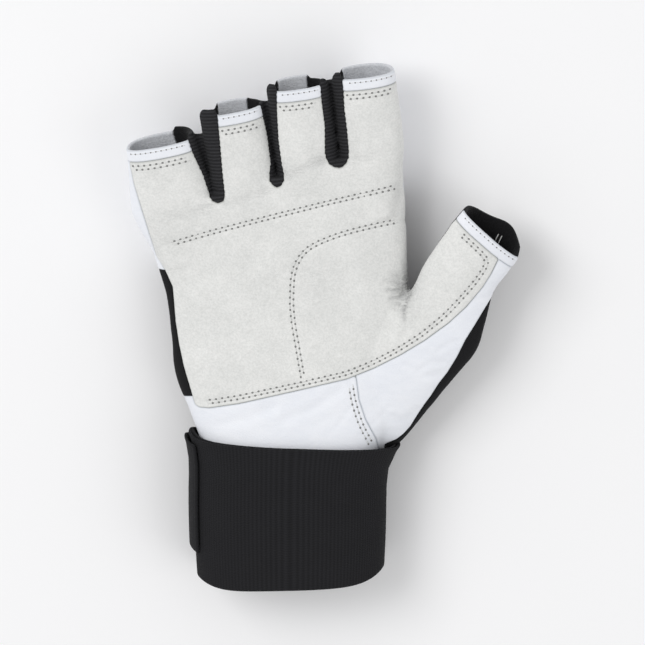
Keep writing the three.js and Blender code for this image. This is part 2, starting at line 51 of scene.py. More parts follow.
PALM_LENGTH = 140
INDEX, MIDDLE, RING, LITTLE = 26.4, 25.0, 25.2, 34.8
CROTCH_GAP = 1.0
KNUCKLES = INDEX + MIDDLE + RING + LITTLE + 3 * CROTCH_GAP
KNUCKLE_SLANT = math.tan(16.4 * DEGREE)
FINGER_TOP, FINGER_BOTTOM, FINGER_RISE = 6.5, 11, 9
THUMB_LENGTH, THUMB_WIDTH, THUMB_TOP, THUMB_BOTTOM = 85, 30.8, 5, 13.5
THUMB_HEADING, THUMB_RISE = 41.3, 9
SEAM_HEIGHT, PALM_TOP, PALM_BOTTOM = 17.5, 12, 19
LEATHER = 1.6
PAST_OPENING = 8
THUMB_DOME = 3.6  # how far the thumb's back stands past its opening
# How far a gusset passes the opening at its front and at its back, on the wall towards the thumb
# and on the wall towards the little finger. Under 0 it stops short of the opening.
GUSSET_THUMB_FRONT, GUSSET_THUMB_BACK = 3.0, -2.6
GUSSET_LITTLE_FRONT = 2.2
GUSSET_LITTLE_BACK = {"gusset_middle_index": -1.6, "gusset_ring_middle": -0.4, "gusset_little_ring": 2.0}
GUSSET_SPREAD = 5.2  # how far a gusset reaches round the back of the next stall
SEAM_DEEP = 0.45
EDGE_STEPS = (0.12, 0.4, 1.0)  # where a panel's rolled edge has lines of points, as shares of it
BINDING_WIDTH = 5
# How far a gusset's edge wavers, in a long wave and a short one.
GUSSET_PUCKER, GUSSET_FINE_PUCKER = 0.1, 0.06
FAR = 10.0  # past this far from an opening its distance no longer counts
# The fold of a gusset: where it starts along a stall, how far short of the opening it ends, how far
# under the side seam it lies and how high it is.
WEB_FROM, WEB_SHORT, WEB_LOWER, WEB_HEIGHT = 0.4, 0.6, 3.5, 4.5
GUSSET_SCRAP = 25  # square millimetres: a larger part of a gusset stays a gusset
WRAP_WIDTH, WRAP_THICK, WRAP_GAP, WRAP_TURNS, WRAP_BELOW = 62, 1.6, 0.35, 1.95, 36
WRAP_PITCH = WRAP_THICK + WRAP_GAP
WRAP_UPPER_TILT, WRAP_LOWER_TILT, WRAP_TAPER, WRAP_FLARE = 3.2, -2.4, 1.3, 0.6
BAND_EDGE = 0.8  # how far from its edges the band starts to round off
WRAP_THUMB_FLARE = 4.2  # how far the band's upper edge leans out to the thumb
WRAP_CORNER = 5.5  # how far the band's lower edge is rounded up at both sides
WRAP_RIB, TAB_RIB = 1.35, 1.6
WRAP_PEAK = 2.4  # how far the band's upper edge stands up at the little finger's side
CUFF_FLOOR = 2 * WRAP_PITCH
TAB_THICK, TAB_LENGTH, TAB_WIDTH, TAB_RAISE, TAB_TURNS = 1.3, 44, 47, 5, 2.07

# Sections of the hollow hand: place along, sideways shift, half width, height of the side seam,
# depth above it, depth below it and height off the table.
PALM_SECTIONS = [
    (0.0, 0.081, 0.324, 1.09, 1.25, 0.82, 1),
    (0.17, 0.086, 0.332, 1.07, 1.23, 0.86, 1.1),
    (0.27, 0.102, 0.39, 1.02, 1.17, 1.0, 0.45),
    (0.4, 0.09, 0.429, 1.0, 1.1, 1.02, 0),
    (0.55, 0.083, 0.437, 1.0, 1.0, 1.02, 0),
    (0.7, 0.066, 0.444, 1.0, 0.96, 1.0, 0),
    (0.84, 0.042, 0.46, 1.02, 0.95, 0.93, 0),
    (1.0, 0.013, 0.4755, 1.15, 0.86, 0.74, 0),
]
THUMB_SECTIONS = [
    (-0.25, 0.5, 0.52, 0, 1.6, 0.9, 0),
    (-0.13, 0.515, 0.585, 0, 1.9, 1.05, 0),
    (0.0, 0.38, 0.71, 0, 2.1, 1.2, 0),
    (0.2, 0.365, 0.675, 0, 2.0, 1.25, 0),
    (0.38, 0.375, 0.645, 0, 1.7, 1.2, 0),
    (0.5, 0.375, 0.61, 0, 1.5, 1.15, 0),
    (0.63, 0.23, 0.58, 0, 1.25, 1.05, 0),
    (0.77, 0.094, 0.513, 0, 1.1, 1.0, 0),
    (0.89, 0.042, 0.513, 0, 1.02, 1.0, 0),
    (1.0, 0, 0.5, 0, 1.0, 1.0, 0),
]
FINGER_SECTIONS = [
    (0.0, 0, 0.71, 0, 1.45, 1.25, 0),
    (0.22, 0, 0.86, 0, 1.4, 1.24, 0),
    (0.46, 0, 1.0, 0, 1.27, 1.18, 0),
    (0.75, 0, 1.0, 0, 1.1, 1.06, 0),
    (1.0, 0, 1.0, 0, 1.0, 1.0, 0),
]
# Name, width at the crotch, length, opening's width over that, lean, tuck of the root and how
# much the side to the little finger and the side to the thumb are drawn in, or let out under 0.
FINGERS = [
    ("index", INDEX, 33.5, 0.985, 6.8, -0.07, 0.0, 0.0),
    ("middle", MIDDLE, 36.8, 1.0, 7.6, 0.0, 0.0, 0.0),
    ("ring", RING, 34.3, 1.03, 10.6, 0.0, -0.6, 0.0),
    ("little", LITTLE, 28.5, 0.81, 11.3, 0.06, 0.0, -0.8),
]
ROOT_SHARE = 0.85
STALL_FULL = 0.46  # the share of a stall's length where it reaches its full width
SLANT_FROM = 0.3  # the share of the palm's length where its sections start to slant
THUMB_CROTCH = (61, 86)
CROTCH_DIP, CROTCH_DIP_WIDTH = 5, 7
CROTCH_FILL, CROTCH_FILL_RADIUS = (60.5, 84.5, 17), 6
THUMB_SIDE = 0.528  # past this share of the knuckles' width a place is on the thumb
VOXEL, SMOOTH_PASSES = 0.9, 7
ROW_DENT, ROW_DENT_WIDTH = 0.32, 1.3  # the dip that a stitch row pulls into the leather
STITCH_STEP, BINDING_STEP, BINDING_SCALE = 2.6, 2.2, 0.7
ROW_HALF = 0.75  # how far each line of a double row lies from its middle
ROW_FINE, ROW_EASE = 0.25, 12  # the step of a row's fine points, and how many of them ease a corner
THREAD_RADIUS, THREAD_LENGTH, HOLE_RADIUS = 0.18, 1.8, 0.54
HOLE_AHEAD = 1.22  # how far past the middle of a stitch its needle hole lies
EYE_HEIGHT = 150  # how far off the glove a line of sight starts
# How far the outside, the inside and the stitches stay off the table, at least.
OUTSIDE_UP, INSIDE_UP, STITCH_UP = 0.02, 0.04, 0.03

# Panel outlines and stitch rows as the camera sees them: across the hand and up the picture.
SUEDE = [
    (-60.5, 191.4), (-59.1, 146.6), (-58, 139.1), (-57.1, 134.3), (-55.7, 127.6), (-53.2, 119.2),
    (-49.9, 108.5), (-46.5, 97.9), (-43, 92), (-39.9, 85), (-39.4, 79.4), (-38.7, 70.5),
    (-37.3, 60.9), (-35.3, 51.4), (-32.5, 41.9), (-31.4, 38), (-30.5, 35.2), (-28.6, 34.1),
    (-24.7, 33.8), (-11.8, 35.7), (12.3, 41.1), (33.3, 46), (44.8, 50.6), (55.8, 56.1),
    (66.1, 62.3), (76.1, 69.6), (83.4, 76.3), (90.3, 84.6), (93.8, 90.1), (96.6, 95.8),
    (100.8, 104.1), (90.7, 120.9), (75, 120.9), (68.3, 141), (68.3, 191.4),
]
THUMB_SEAM = [(37.2, 48.1), (38.6, 37.4), (41.4, 29), (45.9, 20.6), (48.1, 12.2)]
THUMB_LEATHER = [
    (37.2, 62.6), (57.1, 71), (85.1, 96.2), (96.3, 110.2), (110.3, 110.2), (105.5, 97.3),
    (100.8, 89.8), (96.3, 83.9), (91.3, 75.5), (87.3, 68.8), (83.4, 62.6), (79.8, 55.3),
    (75.9, 48.9), (72.2, 44.1), (68.7, 38.6), (66, 35), (63.4, 31), (60.3, 26), (57.4, 22.8),
    (54.6, 20.6), (49.6, 18.4), (48.1, -10.2), *reversed(THUMB_SEAM),
]
HEEL = [
    (-54.9, 38.5), (-31.5, 38.8), (-26.9, 44.7), (36.9, 57), *THUMB_SEAM, (48.1, -38.2),
    (-54.9, -38.2),
]
OUTLINES = {"palm_suede": SUEDE, "thumb_leather": THUMB_LEATHER, "heel_leather": HEEL}
GUSSETS = {
    "gusset_middle_index": [
        (20.7, 190.3), (22.1, 173.2), (22.8, 162.7), (24.2, 152.2), (24.3, 141), (24.9, 138.4),
        (26.2, 136.2), (28.1, 134.9), (30, 134.5), (31.8, 135.1), (33.2, 136.7), (34, 139),
        (34.1, 142), (33.3, 150.8), (32.2, 159.2), (31.9, 165.5),
        (31.2, 172.5), (29.7, 190.3),
    ],
    "gusset_ring_middle": [
        (-4.8, 184.7), (-3.3, 168.3), (-2.4, 159.2), (0, 147.3), (1.4, 136.8), (1, 132.4),
        (1.2, 129.2), (2.4, 127.2), (4.1, 126.5), (5.9, 127.2), (7, 129.4), (6.9, 132.6),
        (6, 136.8), (4.7, 146.6), (4.1, 157.8), (3.9, 169), (3.3, 184.7),
    ],
    "gusset_little_ring": [
        (-39.2, 169), (-33.9, 149.4), (-31.1, 141), (-26.9, 131.9), (-24.1, 123.5), (-23, 120.7),
        (-20.6, 119.9), (-18.2, 120.7), (-17.8, 123.5), (-18.8, 132.6), (-19.7, 143.8),
        (-20.6, 154.3), (-21, 159.9), (-21.9, 174.6),
    ],
}
ROW_KNUCKLES = [(-43.2, 102.1), (-24.7, 107.4), (-5.7, 112.3), (24.3, 119.8), (56.5, 127.3)]
ROW_PAD = [
    (57.3, 113.1), (45.9, 110.8), (36.3, 108.5), (29.1, 106.4), (21.3, 103.3), (16.5, 100.6),
    (13.5, 97.1), (11.5, 92.9), (10.5, 88.4), (10.1, 77.8), (10.9, 69.3), (12.3, 61.3),
    (13.7, 53.1), (15.3, 44.1),
]
ROW_EDGE = [
    (-28.9, 36.6), (-24.7, 36.4), (-11.8, 38.4), (12.3, 43.6), (33.3, 48.5), (43.9, 52.8),
    (54.6, 58.3), (64.5, 64.6), (73.6, 72), (80.4, 79), (86.9, 86.5), (90.4, 91.5),
    (92.5, 95.2), (90.7, 97.8), (85.7, 102.7), (79.6, 108.3),
]
ROW_HEEL = [(34.2, 51.5), (34.7, 47.5), (35.5, 40.2), (36.9, 34.1), (39.2, 27.1), (43.1, 19.5), (45, 15.5)]
ROW_SIDE = [(-45.9, 96.6), (-44.3, 92.4)]
STITCHED = {"palm_suede": [ROW_KNUCKLES, ROW_PAD, ROW_EDGE], "heel_leather": [ROW_HEEL]}
# The seam across the back, seen from straight above: across the hand and along it.
KNUCKLE_SEAM = [(-92, 98), (-52.6, 99.4), (-22.9, 102.2), (11.4, 112), (41.2, 126), (60.6, 133)]


def column(sections, index, at):
    """A column of the sections at places between them, along a smooth curve."""
    places = np.array([row[0] for row in sections])
    values = np.array([row[index] for row in sections], float)
    at = np.clip(np.asarray(at, float), places[0], places[-1])
    low = np.clip(np.searchsorted(places, at) - 1, 0, len(places) - 2)
    before = np.maximum(np.arange(len(places)) - 1, 0)
    after = np.minimum(np.arange(len(places)) + 1, len(places) - 1)
    slopes = (values[after] - values[before]) / (places[after] - places[before])
    step = places[low + 1] - places[low]
    t = (at - places[low]) / step
    rise = values[low + 1] - values[low]
    early, late = slopes[low] * step, slopes[low + 1] * step
    return values[low] + t * (early + t * (3 * rise - 2 * early - late + t * (early + late - 2 * rise)))


def rounded(value, square):
    return np.sign(value) * np.abs(value) ** (2 / square)


class Tube:
    """One hollow part of the hand, with sections that change along it."""

    def __init__(self, name, root, heading, rise, length, square, scales, sections):
        h, r = heading * DEGREE, rise * DEGREE
        self.name = name
        self.root = np.array(root, float)
        self.along = np.array([math.sin(h) * math.cos(r), math.cos(h) * math.cos(r), math.sin(r)])
        self.across = np.array([math.cos(h), -math.sin(h), 0.0])
        self.up = np.cross(self.across, self.along)
        self.length, self.square = length, square
        self.scales, self.sections = scales, sections
        self.tip, self.tuck, self.trim = 1.0, 0.0, (0.0, 0.0)
        self.slant = 0.0

    def size(self, at):
        """Shift, half width, seam height, depth above, depth below and floor at some places."""
        parts = [column(self.sections, i + 1, at) * s for i, s in enumerate(self.scales)]
        at = np.asarray(at, float)
        parts[1] = parts[1] * (1 + (self.tip - 1) * np.maximum(0, (at - STALL_FULL) / (1 - STALL_FULL)))
        parts[0] = parts[0] + self.tuck * np.maximum(0, 1 - at / STALL_FULL)
        parts[0] = parts[0] + (self.trim[0] - self.trim[1]) / 2
        parts[1] = parts[1] - (self.trim[0] + self.trim[1]) / 2
        parts[5] = np.maximum(0, parts[5])
        return parts

    def skin(self, at, turn, grow=0.0):
        """Points on the outside of the tube, in rows of places along by angles round it."""
        shift, wide, lift, top, bottom, floor = self.size(at)
        c, s = rounded(np.cos(turn), self.square), rounded(np.sin(turn), self.square)
        side = shift + c * (wide + grow)
        deep = lift + s * (np.where(s > 0, top, bottom) + grow)
        along = np.asarray(at, float) * self.length
        point = self.root + along[..., None] * self.along
        point = point + side[..., None] * self.across + deep[..., None] * self.up
        if self.slant:
            slope = self.slant * np.clip((np.asarray(at) - SLANT_FROM) / (1 - SLANT_FROM), 0, 1.1)
            point[..., 1] += point[..., 0] * slope
        point[..., 2] = np.maximum(point[..., 2], floor)
        return point

    def inside(self, points):
        """How far along the tube points lie, and how far out of its middle as a share."""
        rel = points - self.root
        far = rel @ self.along
        shift, wide, lift, top, bottom, floor = self.size(far / self.length)
        side, deep = rel @ self.across - shift, rel @ self.up - lift
        out = np.abs(side / wide) ** self.square
        out += np.abs(deep / np.where(deep > 0, top, bottom)) ** self.square
        return far, out ** (1 / self.square)


palm = Tube(
    "palm", (0, 0, 0), 0, 0, PALM_LENGTH, 2.5,
    (KNUCKLES, KNUCKLES, SEAM_HEIGHT, PALM_TOP, PALM_BOTTOM, CUFF_FLOOR), PALM_SECTIONS,
)
palm.slant = KNUCKLE_SLANT
thumb = Tube(
    "thumb", (0.329 * KNUCKLES, 0.389 * PALM_LENGTH, SEAM_HEIGHT), THUMB_HEADING, THUMB_RISE,
    THUMB_LENGTH / math.cos(THUMB_RISE * DEGREE), 2.2,
    (THUMB_WIDTH, THUMB_WIDTH, 1, THUMB_TOP, THUMB_BOTTOM, 1), THUMB_SECTIONS,
)
stalls = []
edge = KNUCKLES / 2
for name, width, length, tip, lean, tuck, trim_little, trim_thumb in FINGERS:
    x = edge - width / 2
    edge -= width + CROTCH_GAP
    level = np.array([-math.sin(lean * DEGREE), math.cos(lean * DEGREE), 0])
    start = np.array([x, PALM_LENGTH + x * KNUCKLE_SLANT, SEAM_HEIGHT]) - level * length * ROOT_SHARE
    stall = Tube(
        name, start, -lean, FINGER_RISE, length * (1 + ROOT_SHARE) / math.cos(FINGER_RISE * DEGREE),
        2.3, (1, width / 2, 1, FINGER_TOP, FINGER_BOTTOM, 1), FINGER_SECTIONS,
    )
    stall.tip, stall.tuck, stall.trim = tip, tuck * width, (trim_little, trim_thumb)
    stalls.append(stall)
openings = [*stalls, thumb]


# The hand's form: tubes joined and smoothed into one skin


def deselect():
    bpy.ops.object.select_all(action="DESELECT")


def apply_modifier(piece, kind, **settings):
    """Adds a modifier with these settings and applies it."""
    deselect()
    piece.select_set(True)
    bpy.context.view_layer.objects.active = piece
    modifier = piece.modifiers.new(kind.title(), kind)
    for key, value in settings.items():
        setattr(modifier, key, value)
    bpy.ops.object.modifier_apply(modifier=modifier.name)


def mesh_piece(name, points, faces):
    """A new object with these points, in metres, and faces."""
    mesh = bpy.data.meshes.new(name)
    mesh.from_pydata([tuple(p) for p in points], [], [tuple(f) for f in faces])
    mesh.update()
    piece = bpy.data.objects.new(name, mesh)
    bpy.context.scene.collection.objects.link(piece)
    return piece


def glove_piece(name, points, faces):
    """A smooth piece of the finished glove, from points in the glove's own frame."""
    piece = mesh_piece(name, (points + ON_TABLE) * METRE, faces)
    piece.data.polygons.foreach_set("use_smooth", np.ones(len(faces), bool))
    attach(piece, "root")
    return piece


def rings_closed(rings):
    """Points and faces of a closed tube through rings of points."""
    count, sides = rings.shape[:2]
    points = rings.reshape(-1, 3)
    faces = []
    for r in range(count - 1):
        for k in range(sides):
            a, b = r * sides + k, r * sides + (k + 1) % sides
            faces.append((a, b, b + sides, a + sides))
    faces.append(tuple(reversed(range(sides))))
    faces.append(tuple(range((count - 1) * sides, count * sides)))
    return points, faces


def tube_piece(tube, start, end, steps, sides):
    at = np.linspace(start, end, steps)[:, None] * np.ones((1, sides))
    turn = -np.linspace(0, 2 * math.pi, sides, endpoint=False)[None, :] * np.ones((steps, 1))
    points, faces = rings_closed(tube.skin(at, turn))
    return mesh_piece(tube.name, points * METRE, faces)


def web_piece(stall, neighbour):
    """The gusset's inner fold: a low web that closes the gap between two stalls."""
    walls = neighbour.skin(np.linspace(0, 1, 200), np.full(200, math.pi))
    rings = []
    for at in np.linspace(WEB_FROM, 1 - WEB_SHORT / stall.length, 16):
        wall = stall.skin(np.array([at]), np.zeros(1))[0]
        other = walls[np.abs(walls[:, 1] - wall[1]).argmin()]
        middle = (wall + other) / 2 - (0, 0, WEB_LOWER)
        turn = -np.linspace(0, 2 * math.pi, 12, endpoint=False)
        wide = abs(other[0] - wall[0]) / 2 + 1
        ring = [middle + (wide * math.cos(t), 0, WEB_HEIGHT / 2 * math.sin(t)) for t in turn]
        rings.append(ring)
    points, faces = rings_closed(np.array(rings))
    return mesh_piece("web", points * METRE, faces)


def hand_skin():
    """One smooth skin round the palm, the stalls and the thumb, open nowhere."""
    tubes = [tube_piece(palm, -PAST_OPENING / PALM_LENGTH, 1.0, 60, 96)]
    for stall in stalls:
        tubes.append(tube_piece(stall, 0, 1 + PAST_OPENING / stall.length, 36, 56))
    tubes.append(tube_piece(thumb, THUMB_SECTIONS[0][0], 1 + PAST_OPENING / thumb.length, 48, 64))
    for neighbour, stall in zip(stalls, stalls[1:]):
        tubes.append(web_piece(stall, neighbour))
    deselect()
    bpy.ops.mesh.primitive_ico_sphere_add(
        subdivisions=3, radius=CROTCH_FILL_RADIUS * METRE, location=[c * METRE for c in CROTCH_FILL]
    )
    tubes.append(bpy.context.active_object)
    for tube in tubes:
        tube.select_set(True)
    bpy.context.view_layer.objects.active = tubes[0]
    bpy.ops.object.join()
    whole = tubes[0]
    apply_modifier(whole, "REMESH", mode="VOXEL", voxel_size=VOXEL * METRE)
    apply_modifier(whole, "SMOOTH", factor=0.5, iterations=SMOOTH_PASSES)
    apply_modifier(whole, "TRIANGULATE")
    mesh = whole.data
    points = np.zeros(len(mesh.vertices) * 3)
    mesh.vertices.foreach_get("co", points)
    faces = np.zeros(len(mesh.polygons) * 3, int)
    mesh.polygons.foreach_get("vertices", faces)
    bpy.data.objects.remove(whole)
    return points.reshape(-1, 3) / METRE, faces.reshape(-1, 3)


def vertex_normals(points, faces):
    a, b, c = (points[faces[:, i]] for i in range(3))
    flat = np.cross(b - a, c - a)
    normals = np.zeros_like(points)
    for i in range(3):
        np.add.at(normals, faces[:, i], flat)
    return normals / np.maximum(np.linalg.norm(normals, axis=1), 1e-12)[:, None]


# Seams


def seen(points):
    """Where points are in the picture: across the hand and up it."""
    return np.stack([points[:, 0], points @ SEEN_UP], 1)


def to_segment(places, a, b):
    """Distance of places from the straight line between two corners."""
    d = b - a
    t = np.clip(((places - a) @ d) / max(d @ d, 1e-9), 0, 1)
    return np.linalg.norm(places - a - t[:, None] * d, axis=1)


def within(outline, places):
    """Distance of places from a closed outline, positive inside it."""
    corners = np.array(outline, float)
    best = np.full(len(places), 1e9)
    inside = np.zeros(len(places), bool)
    for a, b in zip(corners, np.roll(corners, -1, 0)):
        best = np.minimum(best, to_segment(places, a, b))
        d = b - a
        if d[1]:
            crosses = (a[1] > places[:, 1]) != (b[1] > places[:, 1])
            inside ^= crosses & (places[:, 0] < a[0] + (places[:, 1] - a[1]) * d[0] / d[1])
    return np.where(inside, best, -best)


def near_line(line, places):
    """Distance of places from an open line of points."""
    corners = np.array(line, float)
    return np.min([to_segment(places, a, b) for a, b in zip(corners, corners[1:])], axis=0)


def seam_level(points):
    """Height of the side seams at places, which follows the stalls and the thumb up."""
    x, y = points[:, 0], points[:, 1]
    level = palm.size(np.clip(y / PALM_LENGTH, 0, 0.8))[2]
    from_crotch = np.hypot(x - THUMB_CROTCH[0], y - THUMB_CROTCH[1])
    level = level - CROTCH_DIP * np.exp(-(from_crotch / CROTCH_DIP_WIDTH) ** 2)
    heading = thumb.along[:2] / np.linalg.norm(thumb.along[:2])
    on_thumb = np.maximum(0, (points[:, :2] - thumb.root[:2]) @ heading) * math.tan(THUMB_RISE * DEGREE)
    knuckle = PALM_LENGTH + x * KNUCKLE_SLANT - FINGERS[0][2] * ROOT_SHARE
    on_finger = np.maximum(0, y - knuckle) * math.tan(FINGER_RISE * DEGREE)
    return level + np.where(x > THUMB_SIDE * KNUCKLES, on_thumb, on_finger)


def to_opening(points):
    """Distance to the nearest opening, at most FAR, and the number of its tube."""
    nearest = np.full(len(points), 1e9)
    far_to = np.full(len(points), FAR)
    which = np.full(len(points), -1)
    for number, tube in enumerate(openings):
        far, out = tube.inside(points)
        ours = (out < nearest) & (far > 0.4 * tube.length) & (out < 1.5)
        nearest = np.where(ours, out, nearest)
        far_to = np.where(ours, np.minimum(tube.length - far, FAR), far_to)
        which = np.where(ours, number, which)
    return far_to, which


def fields_at(points):
    """For each panel, how far inside its outline points are, before its neighbours are taken off."""
    places = seen(points)
    above = points[:, 2] - seam_level(points)
    opening, which = to_opening(points)
    spread = GUSSET_SPREAD * np.clip(-above / 7, 0, 1)
    x, y = points[:, 0], points[:, 1]
    pucker = GUSSET_PUCKER * np.sin(y * 2.6) + GUSSET_FINE_PUCKER * np.sin(y * 4.3 + x)
    aside = (points - thumb.root) @ thumb.across / (THUMB_WIDTH / 2)
    dome = THUMB_DOME * (0.25 + np.exp(-((aside - 0.4) / 0.5) ** 2)) * np.clip(-above / 6, 0, 1)
    dome = np.where(which == openings.index(thumb), dome, 0)
    found = {"opening": opening + dome, "cuff": y}
    for name, outline in GUSSETS.items():
        field = np.full(len(points), -1e9)
        for share in (0, 0.25, 0.5, 0.75, 1.0):
            moved = places + np.stack([share * spread, 0 * spread], 1)
            field = np.maximum(field, within(outline, moved))
        found[name] = field + pucker
        thumbward = which == list(GUSSETS).index(name)
        front = np.clip((above + 3) / 6, 0, 1)
        thumb_end = GUSSET_THUMB_FRONT * front + GUSSET_THUMB_BACK * (1 - front)
        little_end = GUSSET_LITTLE_FRONT * front + GUSSET_LITTLE_BACK[name] * (1 - front)
        end = np.where(thumbward, thumb_end, little_end) * np.clip(field / 1.2, 0, 1)
        found["opening"] = found["opening"] + end
    found["binding"] = np.minimum(BINDING_WIDTH - opening, above)
    for name, outline in OUTLINES.items():
        found[name] = np.minimum(within(outline, places), above)
    outline = KNUCKLE_SEAM + [(64.1, 230), (-92, 230)]
    found["knuckle_leather"] = within(outline, points[:, :2])
    return found


def cut(points, faces, carried, labels, value):
    """Splits triangles along the line where value is 0."""
    value = np.where(np.abs(value) < 0.06, 0.0, value)
    count = len(points)
    after = np.roll(faces, -1, 1)
    crosses = value[faces] * value[after] < 0
    number = crosses.sum(1)
    low, high = np.minimum(faces, after), np.maximum(faces, after)
    keys = (low.astype(np.int64) * count + high)[crosses]
    unique, inverse = np.unique(keys, return_inverse=True)
    a, b = unique // count, unique % count
    t = value[a] / (value[a] - value[b])
    points = np.vstack([points, points[a] + t[:, None] * (points[b] - points[a])])
    carried = np.vstack([carried, carried[a] + t[:, None] * (carried[b] - carried[a])])
    value = np.append(value, np.zeros(len(unique)))
    middle = np.full(faces.shape, -1)
    middle[crosses] = count + inverse
    new_faces, new_labels = [faces[number == 0]], [labels[number == 0]]
    for i in range(3):
        j, k = (i + 1) % 3, (i + 2) % 3
        rows = (number == 2) & crosses[:, i] & crosses[:, k]
        a, b, c = faces[rows, i], faces[rows, j], faces[rows, k]
        p, q = middle[rows, i], middle[rows, k]
        for corners in ((a, p, q), (p, b, c), (p, c, q)):
            new_faces.append(np.stack(corners, 1))
            new_labels.append(labels[rows])
        rows = (number == 1) & crosses[:, j]
        a, b, c = faces[rows, i], faces[rows, j], faces[rows, k]
        p = middle[rows, j]
        for corners in ((a, b, p), (a, p, c)):
            new_faces.append(np.stack(corners, 1))
            new_labels.append(labels[rows])
    return points, np.vstack(new_faces), carried, np.concatenate(new_labels), value


def islands(faces, count):
    """A number for each face's connected group."""
    group = np.arange(count)
    while True:
        lowest = group[faces].min(1)
        new = group.copy()
        for i in range(3):
            np.minimum.at(new, faces[:, i], lowest)
        new = new[new]
        if (new == group).all():
            return group[faces[:, 0]]
        group = new


def area_of(points, faces):
    a, b, c = (points[faces[:, i]] for i in range(3))
    return np.linalg.norm(np.cross(b - a, c - a), axis=1) / 2


SHEETS = ["palm_suede", "thumb_leather", "heel_leather", "knuckle_leather"]
PANELS = [*GUSSETS, *["binding_" + tube.name for tube in openings], *SHEETS, "back_stretch"]


def cut_panels(points, faces):
    """Cuts the skin along all its seams. Returns points, faces, their panel numbers and normals."""
    found = fields_at(points)
    carried = np.column_stack([vertex_normals(points, faces), *found.values()])
    column_of = {key: 3 + place for place, key in enumerate(found)}
    labels = np.full(len(faces), -1)
    for key in ("opening", "cuff"):
        value = carried[:, column_of[key]]
        points, faces, carried, labels, value = cut(points, faces, carried, labels, value)
        kept = value[faces].sum(1) > 0
        faces, labels = faces[kept], labels[kept]
    order = [*GUSSETS, "binding", *SHEETS]
    first = PANELS.index("binding_index")
    for step, key in enumerate(order):
        value = carried[:, column_of[key]]
        for other in order[:step]:
            value = np.minimum(value, -carried[:, column_of[other]])
        points, faces, carried, labels, value = cut(points, faces, carried, labels, value)
        ours = (labels == -1) & (value[faces].sum(1) > 0)
        labels[ours] = first if key == "binding" else PANELS.index(key)
    labels[labels == -1] = PANELS.index("back_stretch")
    bound = np.where(labels == first)[0]
    middles = points[faces[bound]].mean(1)
    labels[bound] = first + np.stack([tube.inside(middles)[1] for tube in openings]).argmin(0)
    return tidy_islands(points, faces, carried[:, :3], labels)


def tidy_islands(points, faces, normals, labels):
    """Small scraps that a seam cuts off go to the panel beside them."""
    areas = area_of(points, faces)
    for _ in range(2):
        for panel in range(len(PANELS)):
            ours = np.where(labels == panel)[0]
            group = islands(faces[ours], len(points))
            names, inverse = np.unique(group, return_inverse=True)
            sizes = np.bincount(inverse, areas[ours])
            most = GUSSET_SCRAP if panel < len(GUSSETS) else sizes.max()
            for g in np.where(sizes < most)[0]:
                scrap = ours[inverse == g]
                touch = np.isin(faces, np.unique(faces[scrap])).sum(1) >= 2
                touch[ours] = False
                beside = labels[touch]
                if len(beside):
                    labels[scrap] = np.bincount(beside).argmax()
    return points, faces, labels, normals


# Panels: each a closed piece of leather or fabric with rolled edges


def rim_of(faces):
    """The edges that only one face has."""
    edges = np.vstack([faces[:, [0, 1]], faces[:, [1, 2]], faces[:, [2, 0]]])
    keys = np.sort(edges, 1)
    unique, index, counts = np.unique(keys, axis=0, return_index=True, return_counts=True)
    return edges[index[counts == 1]]


def rim_distance(points, faces):
    """How far each point is from the panel's edge, and which points are on it."""
    rim = rim_of(faces)
    samples = []
    for share in (0, 0.2, 0.4, 0.6, 0.8):
        samples.append(points[rim[:, 0]] * (1 - share) + points[rim[:, 1]] * share)
    samples = np.vstack(samples)
    tree = kdtree.KDTree(len(samples))
    for i, p in enumerate(samples):
        tree.insert(p, i)
    tree.balance()
    used = np.unique(faces)
    away = np.full(len(points), 9.0)
    for i in used:
        away[i] = min(9.0, tree.find(points[i])[2])
    away[np.unique(rim)] = 0
    return away


# For each kind of panel its finish, how wide its rolled edge is and how far it stands proud.
FINISH_OF = {
    "gusset": ("ribbed_gusset", 1.3, 0.3), "binding": ("white_leather", 0.8, 0.4),
    "palm_suede": ("suede", 0.45, 0.3), "thumb_leather": ("white_leather", 0.7, 0.12),
    "heel_leather": ("white_leather", 0.6, 0.0), "knuckle_leather": ("white_leather", 0.8, 0.12),
    "back_stretch": ("stretch_fabric", 0.9, 0.0),
}


def finish_of(name):
    return FINISH_OF[name if name in FINISH_OF else name.split("_")[0]]


def compact(points, normals, faces):
    """Only the points that the faces use."""
    used, index = np.unique(faces, return_inverse=True)
    return points[used], normals[used], index.reshape(-1, 3)


def rolled(away, radius):
    """How full a rounded edge stands: 0 on the edge, 1 where it is further away than the radius."""
    return np.sqrt(1 - (1 - np.minimum(away / radius, 1)) ** 2)


def row_dent(points, rows):
    dent = np.zeros(len(points))
    for line in rows:
        dent -= ROW_DENT * np.exp(-(near_line(line, seen(points)) / ROW_DENT_WIDTH) ** 2)
    return dent


